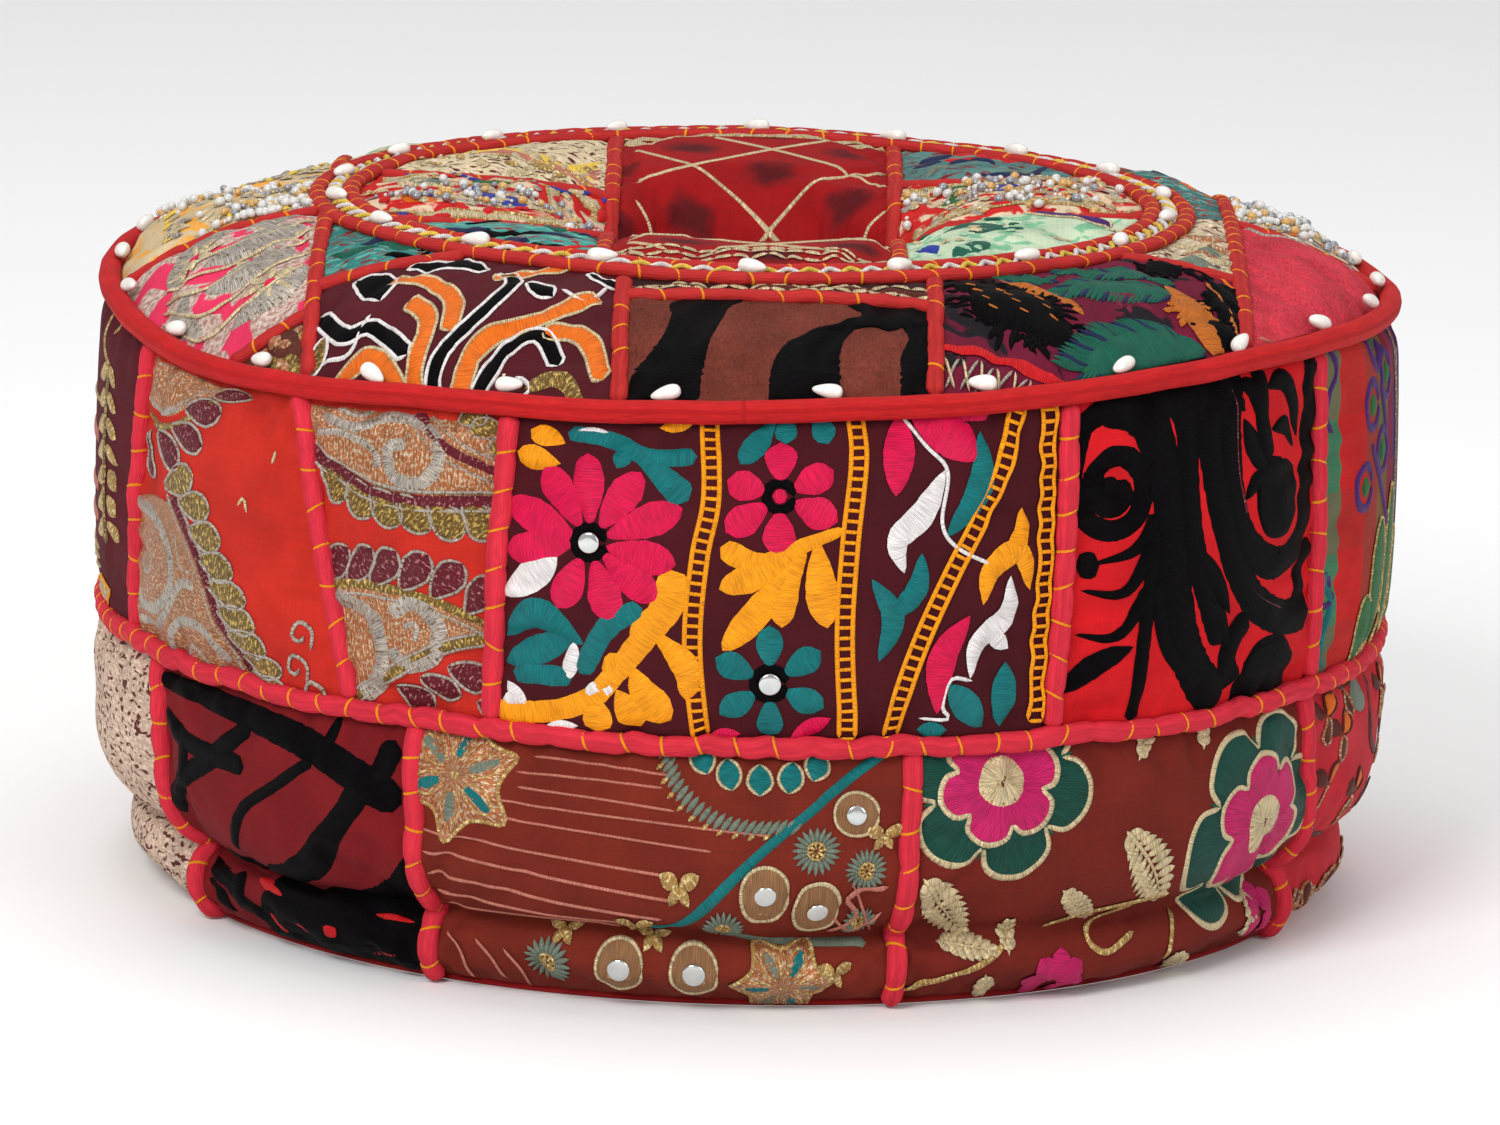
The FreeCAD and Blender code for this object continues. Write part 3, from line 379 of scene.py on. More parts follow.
def simulate(points, pinned):
    """Runs Blender's cloth on the grid, held at its seams and pushed out by pressure."""
    rows, columns = points.shape[:2]
    mesh = bpy.data.meshes.new("cover_sim")
    mesh.from_pydata((points.reshape(-1, 3) * MM).tolist(), [], grid_faces(rows, columns).tolist())
    thing = bpy.data.objects.new("cover_sim", mesh)
    bpy.context.scene.collection.objects.link(thing)
    held = thing.vertex_groups.new(name="held")
    held.add([int(i) for i in np.flatnonzero(pinned.ravel())], 1.0, "REPLACE")
    cloth = thing.modifiers.new("cloth", "CLOTH")
    settings = cloth.settings
    settings.quality = 4
    settings.mass = 0.3
    settings.tension_stiffness = 20
    settings.compression_stiffness = 12
    settings.shear_stiffness = 6
    settings.bending_stiffness = 0.4
    settings.vertex_group_mass = "held"
    settings.shrink_min = -0.035
    settings.use_pressure = True
    settings.uniform_pressure_force = 3.0
    settings.effector_weights.gravity = 0
    cloth.collision_settings.use_collision = False
    cloth.point_cache.frame_start = 1
    cloth.point_cache.frame_end = SIM_FRAMES
    scene = bpy.context.scene
    for number in range(1, SIM_FRAMES + 1):
        scene.frame_set(number)
    graph = bpy.context.evaluated_depsgraph_get()
    done = thing.evaluated_get(graph).data
    out = np.zeros(len(done.vertices) * 3, np.float32)
    done.vertices.foreach_get("co", out)
    scene.frame_set(1)
    bpy.data.objects.remove(thing)
    bpy.data.meshes.remove(mesh)
    return out.reshape(points.shape).astype(float) / MM


# ---------------------------------------------------------------- making meshes


def new_object(name, points, faces, materials, uv, uv_name="chart", face_materials=None):
    """A smooth mesh piece that rides on the cover. Points are in millimetres, in any grid."""
    mesh = bpy.data.meshes.new(name)
    mesh.from_pydata((points.reshape(-1, 3) * MM).tolist(), [], faces.tolist())
    layer = mesh.uv_layers.new(name=uv_name)
    loops = np.zeros(len(mesh.loops), np.int32)
    mesh.loops.foreach_get("vertex_index", loops)
    layer.data.foreach_set("uv", uv.reshape(-1, 2).astype(np.float32)[loops].ravel())
    for material in materials:
        mesh.materials.append(material)
    if face_materials is not None:
        mesh.polygons.foreach_set("material_index", np.asarray(face_materials, np.int32))
    mesh.polygons.foreach_set("use_smooth", np.ones(len(mesh.polygons), bool))
    mesh.update()
    thing = bpy.data.objects.new(name, mesh)
    bpy.context.scene.collection.objects.link(thing)
    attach(thing, BODY)
    return thing


def stand_for(piece, node):
    """The piece is shown in place of a node of the frame, which is hidden."""
    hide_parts(node)


def thicken(piece, thickness=CLOTH_THICKNESS):
    """Gives a sheet its thickness, on the side away from its normals."""
    shell = piece.modifiers.new("thickness", "SOLIDIFY")
    shell.thickness = thickness * MM
    shell.offset = -1


class Sheaf:
    """Collects strips of mesh, each with its own material, into one piece."""

    def __init__(self):
        self.points, self.faces, self.uv, self.slots, self.names = [], [], [], [], []
        self.count = 0

    def add(self, points, faces, uv, material):
        if material not in self.names:
            self.names.append(material)
        self.points.append(points.reshape(-1, 3))
        self.faces.append(faces + self.count)
        self.uv.append(uv.reshape(-1, 2))
        self.slots.append(np.full(len(faces), self.names.index(material)))
        self.count += len(self.points[-1])

    def build(self, name, lookup):
        return new_object(
            name,
            np.concatenate(self.points),
            np.concatenate(self.faces),
            [lookup(m) for m in self.names],
            np.concatenate(self.uv),
            "thread",
            np.concatenate(self.slots),
        )


# ---------------------------------------------------------------- shader helpers


def node(tree, kind, out=0, inputs=None, **settings):
    """Adds a shader node, links or sets its inputs, and gives back one of its outputs."""
    made = tree.nodes.new("ShaderNode" + kind)
    for key, value in settings.items():
        setattr(made, key, value)
    for key, value in (inputs or {}).items():
        if isinstance(value, bpy.types.NodeSocket):
            tree.links.new(value, made.inputs[key])
        else:
            made.inputs[key].default_value = value
    return made.outputs[out]


def maths(tree, operation, a, b=0.0, clamp=False):
    return node(tree, "Math", inputs={0: a, 1: b}, operation=operation, use_clamp=clamp)


def blend_colour(tree, share, a, b, mode="MIX"):
    made = tree.nodes.new("ShaderNodeMix")
    made.data_type, made.blend_type = "RGBA", mode
    for index, value in ((0, share), (6, a), (7, b)):
        if isinstance(value, bpy.types.NodeSocket):
            tree.links.new(value, made.inputs[index])
        else:
            made.inputs[index].default_value = value
    return made.outputs[2]


def shaded(tree, colour, tone):
    """The colour, darker or lighter by a tone."""
    grey = node(tree, "CombineColor", inputs={0: tone, 1: tone, 2: tone})
    return blend_colour(tree, 1.0, colour, grey, "MULTIPLY")


def split(tree, place):
    """The x, y and z of a place."""
    return node(tree, "SeparateXYZ", inputs={0: place}).node.outputs


def noise(tree, place, scale, detail=3.0, distortion=0.0):
    inputs = {"Vector": place, "Scale": scale, "Detail": detail, "Distortion": distortion}
    return node(tree, "TexNoise", inputs=inputs)


def between(tree, value, low, high, out_low=0.0, out_high=1.0):
    """The value, mapped from low and high to 0 and 1, or to two other levels."""
    inputs = {0: value, 1: low, 2: high, 3: out_low, 4: out_high}
    return node(tree, "MapRange", inputs=inputs)


def stretched(tree, place, x, y):
    return node(tree, "Mapping", inputs={"Vector": place, "Scale": (x, y, 1.0)})


def new_material(name):
    material = bpy.data.materials.new(name)
    material.use_nodes = True
    tree = material.node_tree
    return material, tree, tree.nodes["Principled BSDF"]


def finish_shader(tree, shader, colour, height, strength, distance, rough, sheen=0.0, shine=0.18):
    """Sets a shader's colour, relief, roughness, sheen and specular level."""
    tree.links.new(colour, shader.inputs["Base Color"])
    tree.links.new(colour, shader.inputs["Sheen Tint"])
    bump = node(tree, "Bump", inputs={"Height": height, "Strength": strength, "Distance": distance})
    tree.links.new(bump, shader.inputs["Normal"])
    if isinstance(rough, bpy.types.NodeSocket):
        tree.links.new(rough, shader.inputs["Roughness"])
    else:
        shader.inputs["Roughness"].default_value = rough
    shader.inputs["Sheen Weight"].default_value = sheen
    shader.inputs["Specular IOR Level"].default_value = shine


def cloth_material(name, rgb, paint=None, period=0.9, vary=0.16, sheen=0.08, rough=0.86, bump=0.5):
    """Woven cloth: a plain weave with slubs, worn and shaded unevenly. paint adds a pattern."""
    material, tree, shader = new_material(name)
    place = node(tree, "UVMap", uv_map="chart")
    axes = split(tree, place)
    turn = 2 * math.pi / period
    warp, weft = (maths(tree, "SINE", maths(tree, "MULTIPLY", axes[i], turn)) for i in (0, 1))
    weave = maths(tree, "MULTIPLY", warp, weft)
    slub_x = noise(tree, stretched(tree, place, 0.06, 1.1), 1.0)
    slub_y = noise(tree, stretched(tree, place, 1.1, 0.06), 1.0)
    slubs = maths(tree, "ADD", slub_x, slub_y)
    height = maths(tree, "ADD", maths(tree, "MULTIPLY", weave, 0.3), slubs)
    colour = paint(tree, place, axes, linear(rgb)) if paint else linear(rgb)
    patchy = between(tree, noise(tree, place, 0.035, 4.0), 0.3, 0.7, 1 - vary, 1 + vary)
    threads = between(tree, slubs, 0.7, 1.3, 1 - 0.6 * vary, 1 + 0.6 * vary)
    colour = shaded(tree, colour, maths(tree, "MULTIPLY", patchy, threads))
    finish_shader(tree, shader, colour, height, bump, 0.0006, rough, sheen)
    return material


def thread_material(rgb):
    """Satin stitch: fine threads laid side by side across a stroke, each a little different, with painted
    shade in the grooves between them.
    """
    metallic = rgb in METALLIC
    material, tree, shader = new_material(f"thread_{rgb}")
    place = node(tree, "UVMap", uv_map="thread")
    wander = noise(tree, stretched(tree, place, 0.5, 0.25), 1.0)
    along = maths(tree, "ADD", split(tree, place)[0], maths(tree, "MULTIPLY", wander, 1.4))
    turn = math.pi / THREAD_WIDTH
    ridge = maths(tree, "ABSOLUTE", maths(tree, "SINE", maths(tree, "MULTIPLY", along, turn)))
    each = noise(tree, stretched(tree, place, 1.6, 0.12), 1.0, 2.0)
    patchy = noise(tree, place, 0.09)
    low, high = (0.55, 1.5) if metallic else (0.72, 1.22)
    shade = between(tree, each, 0.3, 0.7, low, high)
    shade = maths(tree, "MULTIPLY", shade, between(tree, patchy, 0.3, 0.7, 0.88, 1.1))
    # painted shade: the colour is darker in the grooves between threads, where the ridge is low
    shade = maths(tree, "MULTIPLY", shade, between(tree, ridge, 0.0, 0.6, 0.62, 1.0))
    base = linear(rgb)
    if rgb in FLECKS:
        other, edge = FLECKS[rgb]
        speck = noise(tree, stretched(tree, place, 0.9, 0.45), 1.0, 3.0)
        base = blend_colour(tree, between(tree, speck, edge - 0.04, edge + 0.05), base, linear(other))
    height = maths(tree, "ADD", ridge, maths(tree, "MULTIPLY", each, 1.2))
    rough, shine = (0.36, 0.4) if metallic else (0.55, 0.22)
    finish_shader(tree, shader, shaded(tree, base, shade), height, 0.6, 0.0005, rough, 0.06, shine)
    if metallic:
        shader.inputs["Metallic"].default_value = 0.4
    if rgb == "black":
        shader.inputs["Specular IOR Level"].default_value = 0.04
        shader.inputs["Sheen Weight"].default_value = 0.0
    return material


def cord_material(name, rgb):
    """Cloth drawn tight round a cord, with small gathers that run from stitch to stitch; the gathers are
    painted darker in their folds and lighter on their crests.
    """
    material, tree, shader = new_material(name)
    place = node(tree, "UVMap", uv_map="thread")
    gathers = noise(tree, stretched(tree, place, 0.12, 0.75), 1.0, 4.0, 0.6)
    weave = noise(tree, place, 2.4, 2.0)
    faded = noise(tree, place, 0.04, 3.0)
    # painted shade and light: darker in the folds of the gathers, lighter on their crests, following the
    # bump
    shade = between(tree, gathers, 0.3, 0.7, 0.84, 1.12)
    shade = maths(tree, "MULTIPLY", shade, between(tree, faded, 0.3, 0.7, 0.88, 1.1))
    height = maths(tree, "ADD", maths(tree, "MULTIPLY", gathers, 2.0), maths(tree, "MULTIPLY", weave, 0.4))
    finish_shader(tree, shader, shaded(tree, linear(rgb), shade), height, 0.55, 0.0009, 0.72, 0.15, 0.16)
    return material


def hard_material(name, rgb, rough, metallic=0.0, scale=90.0, depth=0.0002, coat=0.0):
    """Glass, shell, metal or moulded plastic with small marks that break up its shine."""
    material, tree, shader = new_material(name)
    place = node(tree, "TexCoord", out=3)
    marks = noise(tree, place, scale, 5.0)
    tone = between(tree, marks, 0.3, 0.7, 0.86, 1.08)
    worn = between(tree, marks, 0.3, 0.7, rough * 0.7, rough * 1.4)
    finish_shader(tree, shader, shaded(tree, linear(rgb), tone), marks, 0.3, depth, worn, 0.0, 0.5)
    shader.inputs["Metallic"].default_value = metallic
    shader.inputs["Coat Weight"].default_value = coat
    return material


_threads = {}


def thread(name):
    if name not in _threads:
        _threads[name] = thread_material(name)
    return _threads[name]


# ---------------------------------------------------------------- patterns woven or dyed into cloth


def dashes_paint(tree, place, axes, colour):
    """Dark spots and light dashes, as in a worn metallic brocade."""
    spots = noise(tree, stretched(tree, place, 0.22, 0.42), 1.0, 1.0, 0.5)
    dark = between(tree, spots, 0.56, 0.62)
    bright = noise(tree, stretched(tree, place, 0.3, 0.6), 1.0, 2.0)
    colour = blend_colour(tree, between(tree, bright, 0.5, 0.6), colour, linear((228, 206, 184)))
    return blend_colour(tree, dark, colour, linear((96, 44, 38)))


def streaks_paint(light, dark):
    """Brushed streaks of a light and a dark colour."""
    def paint(tree, place, axes, colour):
        streak = noise(tree, stretched(tree, place, 0.1, 0.42), 1.0, 5.0, 1.2)
        colour = blend_colour(tree, between(tree, streak, 0.52, 0.6), colour, linear(light))
        gaps = noise(tree, stretched(tree, place, 0.12, 0.34), 1.3, 3.0, 0.8)
        return blend_colour(tree, between(tree, gaps, 0.56, 0.61), colour, linear(dark))
    return paint


def brocade_paint(tree, place, axes, colour):
    """Metallic thread over most of the cloth, with islands of the cloth's colour."""
    figure = noise(tree, place, 0.045, 1.5, 1.5)
    silver = noise(tree, place, 0.5, 3.0)
    share = between(tree, silver, 0.42, 0.58)
    metal = blend_colour(tree, share, linear((164, 126, 114)), linear((210, 188, 176)))
    return blend_colour(tree, between(tree, figure, 0.47, 0.5), colour, metal)


# The lattice of the quilted band: a node, half a cell across, and its rows between the middle and
# an edge. QUILT_EASE closes them up towards the middle.
QUILT_NODE, QUILT_CELL = -26.0, 34.0
QUILT_ROWS, QUILT_DEPTH, QUILT_EASE = 6.0, 150.0, 1.2


def quilt_paint(tree, place, axes, colour):
    """Darker red in the middle of each cell of the lattice."""
    across = maths(tree, "SUBTRACT", axes[0], QUILT_NODE)
    across = maths(tree, "DIVIDE", across, QUILT_CELL / math.pi)
    deep = maths(tree, "DIVIDE", maths(tree, "ABSOLUTE", axes[1]), QUILT_DEPTH)
    deep = maths(tree, "POWER", deep, 1.0 / QUILT_EASE)
    deep = maths(tree, "MULTIPLY", deep, QUILT_ROWS * math.pi)
    pattern = maths(tree, "MULTIPLY", maths(tree, "COSINE", across), maths(tree, "COSINE", deep))
    mottle = maths(tree, "MULTIPLY", noise(tree, place, 0.12, 3.0), 0.9)
    pattern = maths(tree, "ADD", pattern, mottle)
    return blend_colour(tree, between(tree, pattern, -0.45, 0.1), linear((84, 8, 14)), colour)


PLAID_WIDTH = 160.0
# Where each band starts, as a share of the width, and its colour.
PLAID_BANDS = [
    (0.0, (64, 118, 86)), (0.19, (192, 30, 30)), (0.33, (150, 50, 40)), (0.44, (96, 96, 56)),
    (0.56, (120, 24, 60)), (0.66, (70, 40, 100)), (0.8, (150, 50, 56)),
]


def plaid_paint(tree, place, axes, colour):
    """Bands of colour across the patch, with fine dark stripes up it."""
    across = node(tree, "ValToRGB", inputs={0: maths(tree, "DIVIDE", axes[0], PLAID_WIDTH)})
    ramp = across.node.color_ramp
    ramp.interpolation = "CONSTANT"
    for position, rgb in PLAID_BANDS:
        stop = ramp.elements[0] if position == 0.0 else ramp.elements.new(position)
        stop.color = linear(rgb)
    ramp.elements.remove(ramp.elements[len(ramp.elements) - 1])
    rise = maths(tree, "SINE", maths(tree, "DIVIDE", axes[1], 9.0))
    stripe = maths(tree, "MULTIPLY", maths(tree, "GREATER_THAN", rise, 0.1), 0.32)
    return blend_colour(tree, stripe, across, linear((150, 46, 36)))


def pile_paint(tree, place, axes, colour):
    """Short curly pile: small light and dark flecks over slow patches."""
    curl = noise(tree, stretched(tree, place, 0.9, 0.5), 1.0, 3.0, 0.8)
    lie = noise(tree, place, 0.05, 3.0, 0.5)
    curl, lie = between(tree, curl, 0.35, 0.65, 0.72, 1.16), between(tree, lie, 0.35, 0.65, -0.1, 0.12)
    return shaded(tree, colour, maths(tree, "ADD", curl, lie))


def blotch_paint(other, scale=0.06, edge=0.52):
    """Soft-edged patches of another colour."""
    def paint(tree, place, axes, colour):
        figure = noise(tree, place, scale, 3.0, 1.0)
        return blend_colour(tree, between(tree, figure, edge, edge + 0.05), colour, linear(other))
    return paint


# Patch, its colour, and the pattern on it if it has one.
CLOTHS = {
    "upper_patch_maroon_gold": ((84, 20, 30), None),
    "upper_patch_paisley_left": ((190, 40, 28), None),
    "upper_patch_paisley_right": ((190, 40, 28), None),
    "upper_patch_mirror_flowers": ((66, 8, 18), None),
    "upper_patch_black_scroll": ((198, 18, 26), None),
    "upper_patch_green_plaid": ((150, 50, 40), plaid_paint),
    "upper_patch_teal_vine": ((18, 92, 92), None),
    "upper_patch_rear_flowers": ((66, 8, 18), None),
    "upper_patch_rear_paisley": ((190, 40, 28), None),
    "lower_patch_cream_zari": ((200, 172, 152), dashes_paint),
    "lower_patch_black_brush": ((116, 16, 22), None),
    "lower_patch_star_mirror": ((112, 34, 20), None),
    "lower_patch_rose_vine": ((108, 30, 20), None),
    "lower_patch_pink_leaf": ((186, 42, 52), None),
    "lower_patch_rear_brown": ((112, 34, 20), None),
    "lower_patch_rear_red": ((150, 22, 28), None),
    "top_patch_maroon_swirl": ((78, 16, 26), None),
    "top_patch_brown_zebra": ((106, 46, 34), pile_paint),
    "top_patch_braid_strip": ((52, 22, 24), None),
    "top_patch_black_fern": ((104, 14, 44), blotch_paint((22, 16, 24), 0.05, 0.54)),
    "top_patch_teal_corner": ((44, 122, 116), streaks_paint((96, 160, 148), (130, 20, 24))),
    "top_patch_cream_corner": ((188, 174, 140), dashes_paint),
    "top_patch_brown_corner": ((92, 46, 34), pile_paint),
    "top_patch_pink_silver": ((222, 52, 92), brocade_paint),
    "top_patch_blue_bead": ((200, 178, 140), blotch_paint((226, 160, 70))),
    "top_patch_red_velvet": ((196, 52, 66), pile_paint),
    "top_patch_silver_bead": ((196, 180, 150), blotch_paint((214, 208, 196))),
    "top_patch_cream_back": ((196, 190, 160), blotch_paint((150, 170, 130))),
    "top_patch_teal_back": ((40, 108, 104), streaks_paint((120, 160, 150), (150, 30, 40))),
    "inner_patch_red_quilt": ((148, 6, 12), quilt_paint),
    "inner_patch_cream_fan": ((206, 190, 150), dashes_paint),
    "inner_patch_beaded_left": ((196, 30, 26), blotch_paint((216, 190, 160))),
    "inner_patch_teal_left": ((58, 146, 138), streaks_paint((110, 180, 165), (150, 40, 40))),
    "inner_patch_teal_right": ((86, 128, 124), streaks_paint((60, 104, 104), (120, 30, 40))),
    "inner_patch_beaded_right": ((196, 34, 30), blotch_paint((220, 196, 164))),
    "inner_patch_mint_right": ((190, 206, 176), blotch_paint((120, 178, 140), 0.08)),
    "bead_track_band": ((214, 60, 60), None),
}

# ---------------------------------------------------------------- places on the cover
cover = Cover()


def smooth(points, step=2.2):
    """A curve through the points, cut into even steps."""
    p = np.asarray(points, float)
    if len(p) > 2:
        p = np.concatenate([[2 * p[0] - p[1]], p, [2 * p[-1] - p[-2]]])
        pieces = []
        for k in range(1, len(p) - 2):
            t = np.linspace(0, 1, 12, endpoint=False)[:, None]
            a, b, c, d = p[k - 1], p[k], p[k + 1], p[k + 2]
            bend = (2 * a - 5 * b + 4 * c - d) * t ** 2 + (3 * b - a - 3 * c + d) * t ** 3
            pieces.append(0.5 * (2 * b + (c - a) * t + bend))
        p = np.concatenate(pieces + [p[-2][None]])
    length = np.concatenate([[0], np.cumsum(np.linalg.norm(np.diff(p, axis=0), axis=1))])
    even = np.linspace(0, length[-1], max(6, int(length[-1] / step) + 1))
    return np.stack([np.interp(even, length, p[:, i]) for i in range(p.shape[1])], -1)


class SidePatch:
    """A patch of the side. A place is (mm round from its zero angle, mm above the floor)."""

    def __init__(self, row, following, tier):
        self.name, self.row, self.next, self.tier, self.zero = row[0], row, following, tier, row[3]

    def edges(self, height):
        return seam_angle(self.row, height, self.tier), seam_angle(self.next, height, self.tier)

    def locate(self, places):
        height = np.clip(places[..., 1], self.tier[0] + 1.5, self.tier[1] - 3)
        left, right = self.edges(height)
        angle = self.zero + np.degrees(places[..., 0] / CHART_RADIUS)
        return cover.side_row(height), np.radians(np.clip(angle, left + 0.3, right - 0.3))


class TopPatch:
    """A patch of the top. A place is (x, y) in plan."""

    def __init__(self, row, reach):
        self.name, self.limits, self.reach = row[0], row[1:], reach

    def locate(self, places):
        low_x, high_x, low_y, high_y = self.limits
        x = np.clip(places[..., 0], low_x + 1, high_x - 1)
        y = np.clip(places[..., 1], low_y + 1, high_y - 1)
        radius = np.hypot(x, y)
        return cover.top_row(np.clip(radius, *self.reach)), np.arctan2(x, -y)


def lay(patch, places, rise):
    row, theta = patch.locate(np.asarray(places, float))
    return cover.at(row, theta, rise)


# ---------------------------------------------------------------- stitched strokes
# A stroke is (kind, colour, width, points), and may end with the colour of its edging. An area has
# its two edges in place of points, and a disc its outline. All of it is in millimetres, in the
# places of the patch it is sewn on. A raise row lifts what follows it by its width.
# How far the edge of a stroke is sunk into the cloth, and how far an area stands up from there.
SUNK, PILED = 0.25, 0.9
# Width and spacing of the rungs of a gold braid.
BRAID_WIDTH, BRAID_RUNG = 8.0, 4.3
RAIL_WIDTH, RUNG_WIDTH, EDGING = 1.9, 1.5, 1.4


def unit(vectors):
    return vectors / np.linalg.norm(vectors, axis=-1, keepdims=True)


def beside(path):
    """Unit steps to the left of the way along a path in a chart."""
    tangent = unit(np.gradient(path, axis=0))
    return np.stack([-tangent[:, 1], tangent[:, 0]], -1)


def stroke_outline(kind, share, length, width):
    """Half width of a stroke along its length, as a share of the widest."""
    end = np.clip(np.minimum(share, 1 - share) * length / (width / 2), 0, 1)
    rounded = np.sqrt(1 - (1 - end) ** 2)
    if kind == "leaf":
        return np.sin(math.pi * share) ** 0.75
    if kind == "petal":
        return np.clip(np.sin(math.pi * share ** 1.45), 0, 1) ** 0.68 * 0.86 + 0.14 * rounded
    if kind == "taper":
        return rounded * (1 - 0.85 * share)
    if kind == "grow":
        return rounded * (0.4 + 0.6 * share)
    return rounded


def stroke(sheaf, patch, kind, colour, width, points, layer, rng):
    """One stroke of stitches: a raised strip along a curve, sunk into the cloth at its edges."""
    if kind == "blob":
        x, y = points[0]
        points = [(x - width / 2, y), (x + width / 2, y)]
    path = smooth(points)
    across = beside(path)
    length = np.linalg.norm(np.diff(path, axis=0), axis=1).sum()
    share = np.linspace(0, 1, len(path))
    outline = stroke_outline(kind, share, length, width)
    ragged = 1 + 0.05 * np.array([rng.uniform(-1, 1) for _ in share]) * (width > 4)
    half = width / 2 * outline * ragged
    count = 5 if width < 22 else 9
    cross = np.linspace(1, -1, count)
    places = path[:, None] + across[:, None] * (half[:, None] * cross)[..., None]
    tall = min(0.75 + 0.03 * width, 1.5) * np.minimum(1, outline * 2.0)
    rise = layer + tall[:, None] * np.sqrt(1 - 0.98 * cross ** 2) - SUNK
    uv = np.stack(np.broadcast_arrays((share * length)[:, None], half[:, None] * cross), -1)
    uv = uv + rng.uniform(0, 400)
    sheaf.add(lay(patch, places, rise), grid_faces(len(path), count, False), uv, colour)
    return path, across, half


def fill(sheaf, patch, colour, edges, layer):
    """A solid area of stitches between two edges, sunk into the cloth all round."""
    sides = [smooth(edge, 3.0) for edge in edges]
    count = max(len(side) for side in sides)
    share = np.linspace(0, 1, count)
    spans = [np.linspace(0, 1, len(side)) for side in sides]
    sides = [
        np.stack([np.interp(share, span, side[:, i]) for i in (0, 1)], -1)
        for span, side in zip(spans, sides)
    ]
    wide = np.linalg.norm(sides[0] - sides[1], axis=1).max()
    across = np.linspace(0, 1, max(4, int(wide / 3.0)))
    places = sides[0][:, None] * (1 - across[:, None]) + sides[1][:, None] * across[:, None]
    (ax, ay), (bx, by) = sides[0][-1] - sides[0][0], sides[1][0] - sides[0][0]
    if ax * by - ay * bx > 0:
        places = places[:, ::-1]
    length = np.linalg.norm(np.diff(sides[0], axis=0), axis=1).sum()
    inward = np.minimum(share, 1 - share)[:, None] * length
    edge = np.minimum(inward, np.minimum(across, 1 - across)[None] * wide)
    rise = layer + PILED * np.sqrt(np.clip(edge / 3.0, 0, 1)) - SUNK
    uv = np.stack(np.broadcast_arrays(share[:, None] * length, across[None] * wide), -1)
    sheaf.add(lay(patch, places, rise), grid_faces(count, len(across), False), uv, colour)


def fill_disc(sheaf, patch, colour, outline, layer):
    """A solid area of stitches inside a closed outline, worked out from its middle."""
    edge = smooth(list(outline) + [outline[0]], 1.6)
    middle = edge[:-1].mean(0)
    reach = np.linalg.norm(edge - middle, axis=1)
    share = np.linspace(0.04, 1, max(4, int(reach.max() / 3)))
    places = middle + (edge - middle)[:, None] * share[:, None]
    depth = reach[:, None] * (1 - share)
    rise = layer + PILED * np.sqrt(np.clip(depth / 3.0, 0, 1)) - SUNK
    turn = np.linspace(0, 2 * math.pi, len(edge)) * reach.max() * 0.6
    uv = np.stack(np.broadcast_arrays(turn[:, None], (reach[:, None] * share)), -1)
    sheaf.add(lay(patch, places, rise), grid_faces(len(edge), len(share), False), uv, colour)


FILLS = {"area": fill, "disc": fill_disc}


def embroider(patch, rows):
    """Sews every stroke in the rows, in order, into one piece."""
    rng = random.Random(SEED + len(rows))
    sheaf = Sheaf()
    extra = 0.0
    for number, row in enumerate(rows):
        kind, colour, width, points = row[:4]
        if kind == "raise":
            extra = width
            continue
        layer = 0.1 + 0.9 * number / max(60, len(rows)) + extra
        if kind in FILLS:
            FILLS[kind](sheaf, patch, colour, points, layer)
            continue
        path, across, half = stroke(sheaf, patch, kind, colour, width, points, layer, rng)
        if len(row) > 4:
            for side in (1, -1):
                edge = path + across * (half * side)[:, None]
                stroke(sheaf, patch, "line", row[4], EDGING, edge, layer + 0.3, rng)
    piece = sheaf.build("embroidery_" + patch.name.split("_patch_")[-1], thread)


def spray(kind, colour, width, centre, inner, tips):
    """Strokes that fan out from a centre to the given tips."""
    rows = []
    for tip in tips:
        way = np.subtract(tip, centre)
        start = centre + way * inner / np.linalg.norm(way)
        rows.append((kind, colour, width, [tuple(start), tuple(tip)]))
    return rows


def around(centre, reach, angles):
    """Places on a circle, at angles in degrees."""
    turns = [math.radians(angle) for angle in angles]
    return [(centre[0] + reach * math.cos(t), centre[1] + reach * math.sin(t)) for t in turns]


def ring(colour, width, centre, radius):
    """A closed ring of stitches."""
    return ("line", colour, width, around(centre, radius, np.linspace(0, 360, 15)))


def scallop(centre, size, lobes, depth, phase):
    """The closed outline of a flower of round lobes."""
    outline, steps = [], 8
    for k in range(lobes * steps):
        share = (k % steps) / steps
        reach = size * (1 - depth + depth * math.sin(math.pi * share) ** 0.55)
        outline += around(centre, reach, (phase + 360 * k / (lobes * steps),))
    return outline


def ladder(points):
    """A gold braid: two rails with rungs."""
    path = smooth(points, BRAID_RUNG)
    across = beside(path) * (BRAID_WIDTH / 2 - 0.9)
    rows = [("line", "gold", RAIL_WIDTH, path + across), ("line", "gold", RAIL_WIDTH, path - across)]
    return rows + [("line", "gold", RUNG_WIDTH, [p - a, p + a]) for p, a in zip(path, across)]


def petals_along(colour, width, length, angle, spots):
    """Petals of one size that lie the same way, one at each spot, edged with silver."""
    tips = [around(spot, length, (angle,))[0] for spot in spots]
    return [("petal", colour, width, [spot, tip], "silver") for spot, tip in zip(spots, tips)]


def petals(colour, rows):
    """Petals edged with silver, each (width, foot, tip)."""
    return [("petal", colour, width, [foot, tip], "silver") for width, foot, tip in rows]


def moved(rows, rule):
    """The same strokes, with every place changed by a rule."""
    def move(points):
        if isinstance(points[0], list):
            return [move(edge) for edge in points]
        return [rule(x, y) for x, y in points]
    return [(*row[:3], move(row[3]), *row[4:]) for row in rows]


def mirrored(rows, width):
    """The same strokes, flipped left to right inside a patch of this width."""
    return moved(rows, lambda x, y: (width - x, y))


def shifted(rows, right):
    return moved(rows, lambda x, y: (x + right, y))


